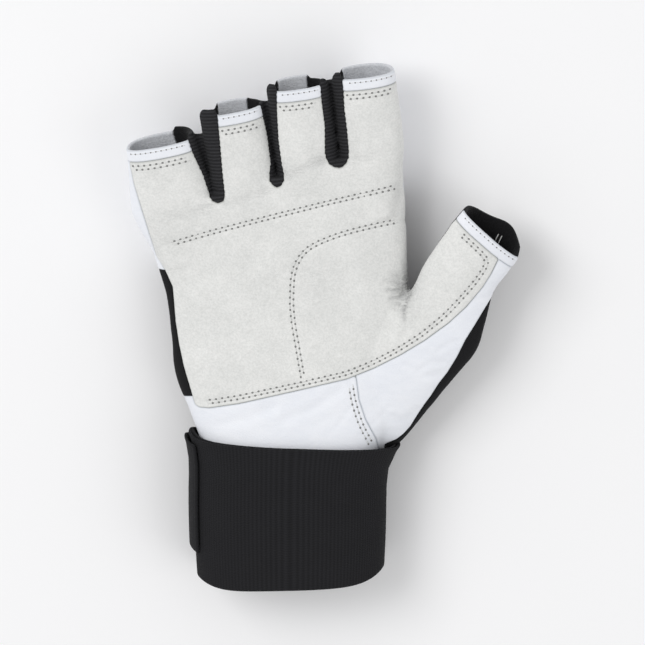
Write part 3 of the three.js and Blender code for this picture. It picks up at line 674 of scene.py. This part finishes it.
def panel_piece(name, points, faces, normals):
    """A closed panel on the skin: its outside stands proud and rolls down to the seam."""
    slot_name, roll, proud = finish_of(name)
    points, normals, faces = compact(points, normals, faces)
    labels = np.zeros(len(faces), int)
    for share in EDGE_STEPS:
        value = rim_distance(points, faces) - share * roll
        points, faces, normals, labels, _ = cut(points, faces, normals, labels, value)
    points, normals, faces = compact(points, normals, faces)
    normals /= np.linalg.norm(normals, axis=1)[:, None]
    away = rim_distance(points, faces)
    full = rolled(away, roll)
    height = -SEAM_DEEP + (SEAM_DEEP + proud) * full + row_dent(points, STITCHED.get(name, [])) * full
    outer = points + normals * height[:, None]
    inner = points - normals * (LEATHER / 2 + LEATHER / 2 * full)[:, None]
    outer[:, 2] = np.maximum(outer[:, 2], OUTSIDE_UP)
    inner[:, 2] = np.maximum(inner[:, 2], INSIDE_UP + 0.9 * full)
    off_rim = away > 0
    back = np.arange(len(points))
    back[off_rim] = len(points) + np.arange(off_rim.sum())
    both = np.vstack([outer, inner[off_rim]])
    piece = glove_piece("sewn_" + name, both, np.vstack([faces, back[faces[:, ::-1]]]))
    sides = np.repeat([0, 1], len(faces)).astype(np.int32)
    piece.data.polygons.foreach_set("material_index", sides)
    # Painted shade along the folds and at the listed spots, and the distance from the edge, towards which
    # the finishes paint shade.
    for kind, values in (("wear", painted_shade_at(points)), ("from_edge", away)):
        layer = piece.data.attributes.new(kind, "FLOAT", "POINT")
        layer.data.foreach_set("value", np.append(values, values[off_rim]).astype(np.float32))
    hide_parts(name)
    return piece, outer, faces


# Folds that the leather has taken: a line as the camera sees it, its depth and its width.
FOLDS = [
    ([(60.2, 81.6), (58.2, 78.6), (57.6, 74), (57.8, 70)], 0.55, 0.9),
    ([(59.6, 88.6), (56, 89.2), (52, 90.4)], 0.25, 0.9),
    ([(59.6, 86.6), (55, 86.9), (49.5, 87.6)], 0.32, 0.9),
    ([(60.8, 84.6), (57, 83.8), (50.5, 83.6)], 0.35, 0.9),
    ([(60.2, 82.4), (56, 80.8), (51.5, 80)], 0.32, 0.9),
    ([(59.2, 80), (55.6, 77.6), (53.4, 75.6)], 0.25, 0.9),
    ([(64, 76), (60, 69), (56, 64)], 0.2, 1.4),
    ([(30, 41), (20, 34), (8, 29)], 0.35, 2.2),
    ([(2, 34), (-10, 29), (-20, 27)], 0.3, 2.4),
    ([(58, 52), (66, 47), (73, 48)], 0.25, 1.5),
    ([(50, 30), (58, 28), (63, 33)], 0.3, 1.8),
    ([(-24, 119), (-31, 116), (-39, 114)], 0.15, 2.4),
    ([(-17, 120), (-9, 121.5), (-1, 124.5)], 0.2, 2.2),
    ([(6.5, 130.5), (14, 133.5), (24, 138.5)], 0.24, 2.1),
    ([(34.5, 137), (41, 138), (48, 141)], 0.12, 2.4),
    ([(38, 21), (45, 28), (51, 34)], 0.22, 1.3),
    ([(24, 20), (31, 28), (35, 34)], 0.2, 1.2),
    ([(80, 62), (76, 61), (72, 58)], 0.22, 1.2),
    ([(74, 53), (69, 53), (64, 50)], 0.22, 1.2),
    ([(92, 80), (88, 80), (84, 77)], 0.18, 1.1),
]


# Spots of painted shade that grey the suede, as the camera sees them, their size and how much.
PAINTED_SHADE_SPOTS = [
    ((57.5, 84), 5.6, 0.42), ((57.5, 76), 3.5, 0.22), ((60.5, 92), 4, 0.3), ((-26, 119), 5, 0.1),
    ((-2, 128), 4.5, 0.12), ((9, 132), 4.5, 0.1), ((22, 138), 4.5, 0.12), ((37, 140), 4.5, 0.08),
    ((-6, 150), 3.5, 0.12), ((-44, 112), 8, 0.08), ((20, 88), 12, 0.08),
]


def painted_shade_at(points):
    """How much painted shade darkens the leather along its folds and at the listed spots, 0 to 1."""
    places = seen(points)
    wear_and_shade = np.zeros(len(points))
    for line, depth, width in FOLDS:
        wear_and_shade = np.maximum(wear_and_shade, 0.5 * depth * np.exp(-(near_line(line, places) / width) ** 2))
    for place, size, much in PAINTED_SHADE_SPOTS:
        far = np.linalg.norm(places - place, axis=1) / size
        wear_and_shade = wear_and_shade + much * np.exp(-far ** 2)
    return np.minimum(wear_and_shade, 1)


def soft_noise(points, size, seed):
    offset = Vector((seed * 17.3, seed * 5.9, seed * 11.1))
    return np.array([noise.noise(Vector(p / size) + offset) for p in points])


def settle(points, normals):
    """Undulations and folds of the worn-in skin, none where it lies under the wrist band."""
    free = np.clip((points[:, 1] - 26) / 14, 0, 1) * np.clip((points[:, 2] - 0.5) / 4, 0, 1)
    lift = 0.42 * soft_noise(points, 19, 1) + 0.2 * soft_noise(points, 8, 2)
    places = seen(points)
    top = np.clip(normals @ SEEN_FROM, 0, 1)
    for line, depth, width in FOLDS:
        far = near_line(line, places) / width
        lift -= top * depth * (np.exp(-far ** 2) - 0.45 * np.exp(-((far - 1.7) ** 2)))
    return points + normals * (lift * free)[:, None]


skin_points, skin_faces = hand_skin()
skin_points = settle(skin_points, vertex_normals(skin_points, skin_faces))
skin_points, skin_faces, panel_of, skin_normals = cut_panels(skin_points, skin_faces)

panels, outside = {}, {}
for number, name in enumerate(PANELS):
    ours = skin_faces[panel_of == number]
    panels[name], *outside[name] = panel_piece(name, skin_points, ours, skin_normals)


# The wrist band and its tab, wound from one path


def band_offset(turns):
    """How far the band stands off the cuff after some turns."""
    step = 0.1
    whole = np.floor(turns + step / 2)
    before = np.clip((turns + step / 2 - whole) / step, 0, 1)
    eased = before * before * (3 - 2 * before)
    return WRAP_GAP + WRAP_PITCH * (whole - 1 + np.where(whole > 0, eased, 1))


# How far it is round the wrist, as its cloth and ribs are measured, and along the tab's turn.
AROUND, TAB_AROUND = 2 * math.pi * 0.27 * KNUCKLES, 2 * math.pi * 0.26 * KNUCKLES


def wound_strip(name, start, end, path, thick, low, high, steps, rib_pitch, rib_height):
    """A strip wound round the cuff, with ribs across its length and rounded edges."""
    turns = np.linspace(start, end, steps + 1)[:, None]
    edge_shares = np.array([0, 0.1, 0.35, 1]) * BAND_EDGE / (high - low)
    shares = np.concatenate([edge_shares, np.linspace(0.05, 0.95, 8), 1 - edge_shares[::-1]])
    cross = len(shares)
    share = np.concatenate([shares, shares[::-1][1:-1]])[None, :]
    outward = np.concatenate([np.zeros(cross), np.ones(cross - 2)])[None, :] * np.ones_like(turns)
    reach = (high - low) * np.minimum(share, 1 - share)
    end_reach = np.minimum(turns - start, end - turns) * 2 * math.pi * 0.3 * KNUCKLES
    full = rolled(reach, BAND_EDGE) * rolled(end_reach, BAND_EDGE)
    rib = rib_height * (0.5 - 0.5 * np.cos(2 * math.pi * turns * AROUND / rib_pitch)) * full
    half = thick / 2
    out = half + np.where(outward > 0, half * full - rib, -half * full)
    level = low + (high - low) * share
    tilt = WRAP_LOWER_TILT + (WRAP_UPPER_TILT - WRAP_LOWER_TILT) * share
    turn = math.pi - 2 * math.pi * turns
    wide = palm.size(0.0)[1]
    y = level - np.cos(turn) * wide * np.tan(tilt * DEGREE)
    y = y + WRAP_PEAK * share ** 2 * np.exp(-(1 + np.cos(turn)) / 0.06)
    y = y + WRAP_CORNER * (1 - share) ** 3 * np.abs(np.cos(turn)) ** 5
    drawn = WRAP_TAPER * (np.minimum(0, y) / WRAP_BELOW) ** 2
    above = path(turns) + out
    offset = above + WRAP_FLARE * np.clip((share - 0.8) / 0.2, 0, 1) - drawn
    shift, half_wide, lift, top, bottom, floor = palm.size(np.maximum(0, y / PALM_LENGTH))
    c, s = rounded(np.cos(turn), palm.square), rounded(np.sin(turn), palm.square)
    x = shift + c * (half_wide + offset)
    upper = np.clip((share - 0.7) / 0.3, 0, 1) ** 2
    x = x + WRAP_THUMB_FLARE * upper * np.exp(-(1 - np.cos(turn)) / 0.3)
    z = lift + s * (np.where(s > 0, top, bottom) + offset)
    z = np.maximum(np.maximum(z, floor - above), OUTSIDE_UP)
    points, faces = rings_closed(np.stack([x + 0 * y, y + 0 * x, z], 2))
    piece = glove_piece(name, points, faces)
    # The cloth's own map, in millimetres: round the wrist, and along the arm.
    cloth = np.stack([np.repeat(turns * AROUND, share.size), (points + ON_TABLE)[:, 1]], 1)
    corners = np.zeros(len(piece.data.loops), int)
    piece.data.loops.foreach_get("vertex_index", corners)
    layer = piece.data.uv_layers.new(name="cloth")
    layer.data.foreach_set("uv", cloth[corners].ravel().astype(np.float32))
    return piece


wrap_high = WRAP_WIDTH - WRAP_BELOW
wrap = wound_strip(
    "elastic_band", 0, WRAP_TURNS, band_offset, WRAP_THICK, -WRAP_BELOW, wrap_high,
    2600, WRAP_RIB, 0.085,
)
tab_low = (wrap_high - WRAP_BELOW - TAB_WIDTH) / 2 + TAB_RAISE
tab = wound_strip(
    "webbing_tab", TAB_TURNS - TAB_LENGTH / TAB_AROUND, TAB_TURNS,
    lambda turns: 1.8 * WRAP_GAP + 2 * WRAP_PITCH + 0 * turns,
    TAB_THICK, tab_low, tab_low + TAB_WIDTH, 320, TAB_RIB, 0.06,
)
for piece, node in ((wrap, "wrist_wrap"), (tab, "closure_tab")):
    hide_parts(node)


# Stitches


def outside_tree():
    points, faces, owner = [], [], []
    start = 0
    for name, (outer, tris) in outside.items():
        points.append(outer)
        faces.append(tris + start)
        owner += [name] * len(tris)
        start += len(outer)
    tree = BVHTree.FromPolygons(np.vstack(points).tolist(), np.vstack(faces).tolist())
    return tree, owner


tree, owner = outside_tree()


def paced(path, step, phase=0.0):
    """Points an even step apart along a path, in two or three dimensions."""
    lengths = np.append(0, np.cumsum(np.linalg.norm(np.diff(path, axis=0), axis=1)))
    stops = np.arange(phase * step, lengths[-1], step)
    return np.stack([np.interp(stops, lengths, path[:, i]) for i in range(path.shape[1])], 1)


def offset_line(line, distance):
    """Fine points along a line with its corners eased, moved sideways."""
    path = paced(np.array(line, float), ROW_FINE)
    padded = np.vstack([np.repeat(path[:1], ROW_EASE, 0), path, np.repeat(path[-1:], ROW_EASE, 0)])
    kernel = np.ones(2 * ROW_EASE + 1) / (2 * ROW_EASE + 1)
    path = np.stack([np.convolve(padded[:, i], kernel, "valid") for i in range(2)], 1)
    ahead = np.gradient(path, axis=0)
    ahead /= np.linalg.norm(ahead, axis=1)[:, None]
    return path + distance * np.stack([-ahead[:, 1], ahead[:, 0]], 1)


def from_seen(places):
    """Points in space that lie at these places in the picture."""
    return places[..., :1] * np.array([1.0, 0, 0]) + places[..., 1:] * SEEN_UP


def on_glove(origins, direction, allowed):
    """Where rays from origins meet the outside of the allowed panels, with the normal there."""
    found = []
    for origin in origins:
        where, normal, index, _ = tree.ray_cast(Vector(origin), Vector(direction))
        hit = where is not None and owner[index] in allowed
        found.append((np.array(where), np.array(normal)) if hit else None)
    return found


def take_shape(piece):
    points = np.array([v.co for v in piece.data.vertices])
    faces = [tuple(p.vertices) for p in piece.data.polygons]
    bpy.data.objects.remove(piece)
    return points, faces


def thread_shape():
    """One stitch lying along X: a short thread that dips into the leather at both ends."""
    deselect()
    bpy.ops.mesh.primitive_cylinder_add(
        vertices=6, radius=THREAD_RADIUS, depth=THREAD_LENGTH, rotation=(0, math.pi / 2, 0)
    )
    thread = bpy.context.active_object
    bpy.ops.object.transform_apply(location=True, rotation=True, scale=True)
    bpy.ops.object.mode_set(mode="EDIT")
    for bend in (-0.5, 0.5):
        bpy.ops.mesh.select_all(action="SELECT")
        bpy.ops.mesh.bisect(plane_co=(bend, 0, 0), plane_no=(1, 0, 0))
    bpy.ops.object.mode_set(mode="OBJECT")
    for v in thread.data.vertices:
        end = abs(v.co.x) > 0.7
        v.co.z = v.co.z * (0.6 if end else 1) + (-0.12 if end else 0.1)
        v.co.y *= 0.6 if end else 1
    return take_shape(thread)


def hole_shape():
    """One needle hole: a shallow dish sunk at the end of a stitch, coloured dark as painted shade in the
    hole.
    """
    deselect()
    bpy.ops.mesh.primitive_uv_sphere_add(
        segments=8, ring_count=4, radius=HOLE_RADIUS, location=(0, 0, 0)
    )
    hole = bpy.context.active_object
    bpy.ops.object.mode_set(mode="EDIT")
    bpy.ops.mesh.select_all(action="SELECT")
    bpy.ops.transform.resize(value=(1.0, 0.85, 0.35))
    bpy.ops.object.mode_set(mode="OBJECT")
    return take_shape(hole)


THREAD, HOLE = thread_shape(), hole_shape()
copies = {"threads": [], "holes": []}


def turned_to(ahead, normal):
    """A frame with X along the leather and Z out of it."""
    ahead = ahead - (ahead @ normal) * normal
    ahead /= np.linalg.norm(ahead)
    return np.stack([ahead, np.cross(normal, ahead), normal], 0)


def lay_stitches(run, scale):
    """Copies the stitch and its hole at points, with normals, that follow each other."""
    for i, (place, normal) in enumerate(run):
        ahead = run[min(i + 1, len(run) - 1)][0] - run[max(i - 1, 0)][0]
        turned = turned_to(ahead, normal)
        copies["threads"].append((THREAD[0] * scale) @ turned + place + 0.02 * normal)
        spot = place + turned[0] * HOLE_AHEAD * scale
        copies["holes"].append((HOLE[0] * scale) @ turned + spot)


def lay_hits(hits, scale=1.0):
    """Stitches each unbroken run of hits, apart from its first and last."""
    run = []
    for hit in [*hits, None]:
        if hit is not None and (not run or np.linalg.norm(hit[0] - run[-1][0]) < 5):
            run.append(hit)
            continue
        if len(run) > 3:
            lay_stitches(run[1:-1], scale)
        run = [hit] if hit is not None else []


def stitch_seen(line, offset, allowed, phase):
    """A stitch row drawn where the camera sees it."""
    places = paced(offset_line(line, offset), STITCH_STEP, phase)
    lay_hits(on_glove(from_seen(places) + EYE_HEIGHT * SEEN_FROM, -SEEN_FROM, allowed))


def stitch_round(tube, back, panel, margin, step=STITCH_STEP, phase=0.0, scale=1.0):
    """A stitch row round a tube, some way back from its opening, up to a margin in degrees."""
    at = 1 - back / tube.length
    turn = np.linspace(margin, 180 - margin, 400) * DEGREE
    middle = tube.root + at * tube.length * tube.along
    hits = []
    for origin in paced(tube.skin(np.full(400, at), turn), step, phase):
        out = origin - middle
        out = out - (out @ tube.along) * tube.along + 10 * tube.up
        out /= np.linalg.norm(out)
        hits += on_glove([origin + 6 * out], -out, (panel,))
    lay_hits(hits, scale)


for side, phase in ((1, 0), (-1, 0.5)):
    for row in (ROW_KNUCKLES, ROW_PAD, ROW_EDGE):
        stitch_seen(row, side * ROW_HALF, ("palm_suede",), phase)
    stitch_seen(ROW_HEEL, side * ROW_HALF * 1.15, ("heel_leather",), phase)
    stitch_seen(ROW_SIDE, side * ROW_HALF, ("knuckle_leather",), phase)
for tube in stalls:
    stitch_round(tube, 6.6, "palm_suede", 12)
    stitch_round(tube, 8.3, "palm_suede", 12, phase=0.5)
for tube in openings:
    stitch_round(tube, 1.3, "binding_" + tube.name, 8, BINDING_STEP, scale=BINDING_SCALE)
for offset, phase in ((-1.6, 0), (-3.2, 0.5)):
    line = paced(offset_line(KNUCKLE_SEAM[1:], offset), STITCH_STEP, phase)
    lay_hits(on_glove(np.column_stack([line, np.full(len(line), -20.0)]), (0, 0, 1), ("back_stretch",)))


def stitch_inside(start, end):
    """One long stitch on the inner wall, seen through the thumb's opening."""
    start, end = np.array(start), np.array(end)
    eye = from_seen((start + end) / 2) + EYE_HEIGHT * SEEN_FROM
    where, normal, _, _ = tree.ray_cast(Vector(eye), Vector(-SEEN_FROM))
    inward = -np.array(normal)
    size = THREAD[0] * np.array([np.linalg.norm(end - start) / THREAD_LENGTH, 1.3, 1.3])
    turned = turned_to(from_seen(end - start), inward)
    copies["threads"].append(size @ turned + np.array(where) + (LEATHER + 0.1) * inward)


stitch_inside((96.1, 104.5), (97.8, 107.5))
stitch_inside((97.4, 103.0), (99.5, 106.6))


def gather(name, shape, placed):
    """All copies of one shape as one piece."""
    points = np.vstack(placed)
    points[:, 2] = np.maximum(points[:, 2], STITCH_UP)
    count = len(shape[0])
    faces = [tuple(i + n * count for i in face) for n in range(len(placed)) for face in shape[1]]
    return glove_piece(name, points, faces)


threads = gather("stitch_threads", THREAD, copies["threads"])
holes = gather("needle_holes", HOLE, copies["holes"])


# Finishes


class Wire:
    """One output in a finish's node tree, with sums and products written as Python."""

    def __init__(self, finish, socket):
        self.finish, self.socket = finish, socket

    def join(self, operation, *values):
        settings = {"operation": operation}
        return self.finish.node("ShaderNodeMath", settings, dict(enumerate(values)))

    def __add__(self, other):
        return self.join("ADD", self, other)

    __radd__ = __add__

    def __mul__(self, other):
        return self.join("MULTIPLY", self, other)

    __rmul__ = __mul__

    def __sub__(self, other):
        return self.join("SUBTRACT", self, other)

    def __rsub__(self, other):
        return self.join("SUBTRACT", other, self)

    def ripple(self, pitch, shift=0.0):
        """A wave from -1 to 1 that comes back every pitch."""
        return self.join("SINE", self * (2 * math.pi / pitch) + shift)

    def between(self, low, high):
        """0 below low, 1 above high, and smooth between them."""
        settings = {"interpolation_type": "SMOOTHSTEP"}
        return self.finish.node("ShaderNodeMapRange", settings, {0: self, 1: low, 2: high})


class Finish:
    """A material built node by node round one Principled shader."""

    def __init__(self, name, sheen=0.0, gloss=0.5):
        self.material = bpy.data.materials.new(name)
        self.material.use_nodes = True
        self.tree = self.material.node_tree
        self.tree.nodes.clear()
        self.shader = self.tree.nodes.new("ShaderNodeBsdfPrincipled")
        output = self.tree.nodes.new("ShaderNodeOutputMaterial")
        self.tree.links.new(self.shader.outputs[0], output.inputs["Surface"])
        self.shader.inputs["Sheen Weight"].default_value = sheen
        self.shader.inputs["Specular IOR Level"].default_value = gloss
        self.place = self.node("ShaderNodeTexCoord", {}, {}, "Object")

    def node(self, kind, settings, values, output=0):
        """A node with its settings, then the values or wires of its sockets."""
        node = self.tree.nodes.new(kind)
        for key, value in settings.items():
            setattr(node, key, value)
        for key, value in values.items():
            self.put(node.inputs[key], value)
        return Wire(self, node.outputs[output])

    def put(self, socket, value):
        if isinstance(value, Wire):
            self.tree.links.new(value.socket, socket)
        else:
            socket.default_value = value

    def noise(self, millimetres, detail=3.0, rough=0.55, place=None):
        values = {"Vector": place or self.place, "Scale": 1000 / millimetres}
        values.update({"Detail": detail, "Roughness": rough})
        return self.node("ShaderNodeTexNoise", {}, values)

    def cells(self, millimetres, feature):
        values = {"Vector": self.place, "Scale": 1000 / millimetres}
        return self.node("ShaderNodeTexVoronoi", {"feature": feature}, values)

    def axis(self, vector, number):
        return self.node("ShaderNodeSeparateXYZ", {}, {0: vector}, number)

    def mix(self, factor, a, b):
        return self.node("ShaderNodeMix", {"data_type": "RGBA"}, {0: factor, 6: a, 7: b}, 2)

    def stretch(self, scale, turn):
        values = {"Vector": self.place, "Scale": scale, "Rotation": (0, 0, turn)}
        return self.node("ShaderNodeMapping", {}, values)

    def attribute(self, name):
        return self.node("ShaderNodeAttribute", {"attribute_name": name}, {}, 2)

    def dress(self, tone, dark, light, rough, height=None, millimetres=0.0):
        """Colours the shader from dark to light by tone, with a roughness and a relief."""
        self.put(self.shader.inputs["Base Color"], self.mix(tone, dark, light))
        self.put(self.shader.inputs["Roughness"], rough)
        if height is not None:
            values = {"Strength": 1.0, "Distance": millimetres * METRE, "Height": height}
            self.put(self.shader.inputs["Normal"], self.node("ShaderNodeBump", {}, values))
        return self.material


def srgb(red, green, blue):
    """A colour given as it looks on a screen, 0 to 255."""
    def linear(c):
        c /= 255
        return c / 12.92 if c <= 0.04045 else ((c + 0.055) / 1.055) ** 2.4
    return (linear(red), linear(green), linear(blue), 1.0)


def suede_finish():
    f = Finish("brushed_suede", sheen=0.05, gloss=0.15)
    cloud, mottle, nap = f.noise(16, 3), f.noise(3.2, 4, 0.65), f.noise(0.9, 3, 0.7)
    tone = cloud.between(0.3, 0.7) * 0.25 + mottle.between(0.25, 0.75) * 0.25
    tone = tone + nap.between(0.3, 0.7) * 0.5
    body = f.mix(tone, srgb(213, 214, 212), srgb(240, 240, 238))
    crinkle = f.noise(3.4, 4, 0.6, f.stretch((1, 3.4, 1), 0.12)).between(0.38, 0.62)
    # Painted shade: greys the suede along its folds and at the listed spots; the crinkled relief follows
    # the same mask.
    wear = f.attribute("wear")
    body = f.mix(wear * (0.15 + 0.5 * mottle + 0.75 * crinkle), body, srgb(160, 161, 162))
    # Darker towards the panel's edge: painted shade where the edge rolls down into the seam.
    edge = f.attribute("from_edge").between(0.15, 0.9)
    relief = nap * 0.6 + mottle * 0.5 - crinkle * wear * 2.4
    return f.dress(edge, srgb(206, 207, 204), body, 0.9 + 0.08 * nap, relief, 0.35)


def leather_finish():
    f = Finish("white_leather", gloss=0.45)
    cloud, cells = f.noise(24, 2), f.cells(0.9, "DISTANCE_TO_EDGE")
    crease = f.noise(5, 5, 0.6, f.stretch((1, 2.4, 1), 0.6))
    tone = cloud.between(0.3, 0.7) * 0.6 + crease.between(0.3, 0.7) * 0.4
    body = f.mix(tone, srgb(234, 237, 244), srgb(242, 244, 249))
    # Darker towards the panel's edge: painted shade where the edge rolls down into the seam.
    edge = f.attribute("from_edge").between(0.1, 0.8)
    relief = cells.between(0.0, 0.25) * 0.25 + crease * 0.8
    return f.dress(edge, srgb(214, 218, 224), body, 0.4 + 0.16 * crease, relief, 0.16)


def gusset_finish():
    f = Finish("ribbed_gusset", sheen=0.02, gloss=0.15)
    rib = f.axis(f.stretch((1, 1, 1), -0.13), 1).ripple(0.0015, f.noise(3, 2) * 2) * 0.5 + 0.5
    fuzz = f.noise(0.35, 3, 0.7)
    tone, relief = rib * 0.45 + fuzz * 0.55, rib * 0.8 + fuzz * 0.8
    return f.dress(tone, srgb(10, 10, 11), srgb(66, 66, 69), 0.78 + 0.2 * fuzz, relief, 0.45)


def stretch_finish():
    f = Finish("stretch_fabric", sheen=0.02, gloss=0.15)
    knit = f.axis(f.place, 0).ripple(0.0011) * f.axis(f.place, 1).ripple(0.0009) * 0.5 + 0.5
    fuzz = f.noise(0.5, 3, 0.7)
    tone, relief = knit * 0.5 + fuzz * 0.5, knit * 0.8 + fuzz * 0.5
    return f.dress(tone, srgb(12, 12, 13), srgb(36, 36, 38), 0.82 + 0.15 * fuzz, relief, 0.2)


def elastic_finish(name, pitch):
    f = Finish(name, sheen=0.02, gloss=0.15)
    cloth = f.node("ShaderNodeTexCoord", {}, {}, "UV")
    round_wrist, up_arm = f.axis(cloth, 0), f.axis(cloth, 1)
    pick = up_arm.ripple(0.75, round_wrist.ripple(2 * pitch) * 1.5) * 0.5 + 0.5
    rib = round_wrist.ripple(pitch) * 0.5 + 0.5
    fuzz, wear_and_shade = f.noise(0.4, 3, 0.7), f.noise(9, 3)
    tone = rib * 0.25 + pick * 0.26 + fuzz * 0.34 + wear_and_shade * 0.15
    relief = pick * 0.6 + rib * 0.4 + fuzz * 0.4
    return f.dress(tone, srgb(11, 11, 12), srgb(44, 44, 47), 0.72 + 0.2 * fuzz, relief, 0.2)


def lining_finish(name, dark, light):
    f = Finish(name, sheen=0.1, gloss=0.15)
    mesh, cloud = f.cells(0.8, "F1"), f.noise(7, 3)
    return f.dress(mesh * 0.5 + cloud * 0.5, dark, light, 0.85 + 0.1 * cloud, mesh, 0.2)


def thread_finish():
    f = Finish("stitching_thread", gloss=0.3)
    twist = f.noise(0.4, 2)
    return f.dress(twist, srgb(212, 213, 212), srgb(232, 232, 231), 0.6 + 0.2 * twist, twist, 0.08)


def hole_finish():
    # Painted shade: the grey of a needle hole stands in for the shade inside it.
    f = Finish("needle_hole", gloss=0.1)
    grain = f.noise(0.5, 2)
    return f.dress(grain, srgb(112, 112, 112), srgb(150, 150, 148), 0.85 + 0.1 * grain, grain, 0.05)


FINISHES = {
    "suede": suede_finish(), "white_leather": leather_finish(), "ribbed_gusset": gusset_finish(),
    "stretch_fabric": stretch_finish(),
}
grey_lining = lining_finish("grey_lining", srgb(182, 184, 189), srgb(226, 228, 232))
black_lining = lining_finish("black_lining", srgb(10, 10, 11), srgb(30, 30, 32))
for name, piece in panels.items():
    slot_name = finish_of(name)[0]
    dark = slot_name in ("ribbed_gusset", "stretch_fabric") or "thumb" in name
    piece.data.materials.append(FINISHES[slot_name])
    piece.data.materials.append(black_lining if dark else grey_lining)
wrap.data.materials.append(elastic_finish("elastic_band", WRAP_RIB))
tab.data.materials.append(elastic_finish("closure_webbing", TAB_RIB))
threads.data.materials.append(thread_finish())
holes.data.materials.append(hole_finish())


# Table, light and camera


# Lamps: name, place, size and power, in metres and watts.
LAMPS = [("key_light", (-1.6, 1.2, 2.2), 1.6, 35.0), ("fill_light", (1.8, -0.6, 2.0), 1.6, 10.0)]
DAYLIGHT = 0.62
LENS, SENSOR = 500, 36
EYE_TARGET, EYE_AWAY = Vector((0.0, 0.001, 0.018)), 3.778


def studio():
    scene = bpy.context.scene
    deselect()
    bpy.ops.mesh.primitive_plane_add(size=6, location=(0, 0, -0.0001))
    floor = bpy.context.active_object
    floor.name = "table"
    f = Finish("pale_table", gloss=0.2)
    floor.data.materials.append(f.dress(f.noise(60, 2), srgb(249, 249, 250), srgb(251, 251, 252), 0.7))
    world = bpy.data.worlds.new("studio")
    world.use_nodes = True
    world.node_tree.nodes["Background"].inputs[0].default_value = (1, 1, 1, 1)
    world.node_tree.nodes["Background"].inputs[1].default_value = DAYLIGHT
    scene.world = world
    for name, place, size, power in LAMPS:
        light = bpy.data.lights.new(name, "AREA")
        light.size, light.energy = size, power
        lamp = bpy.data.objects.new(name, light)
        lamp.location = place
        lamp.rotation_mode = "QUATERNION"
        lamp.rotation_quaternion = (-Vector(place)).to_track_quat("-Z", "Y")
        scene.collection.objects.link(lamp)
    camera = bpy.data.cameras.new("camera")
    camera.lens, camera.sensor_width = LENS, SENSOR
    camera.clip_start, camera.clip_end = 0.05, 20
    eye = bpy.data.objects.new("camera", camera)
    eye.location = EYE_TARGET + Vector(SEEN_FROM) * EYE_AWAY
    turned = Matrix(np.stack([[1.0, 0.0, 0.0], SEEN_UP, SEEN_FROM], 1).tolist())
    eye.rotation_euler = turned.to_euler()
    scene.collection.objects.link(eye)
    scene.camera = eye
    scene.view_settings.view_transform = "Standard"


studio()
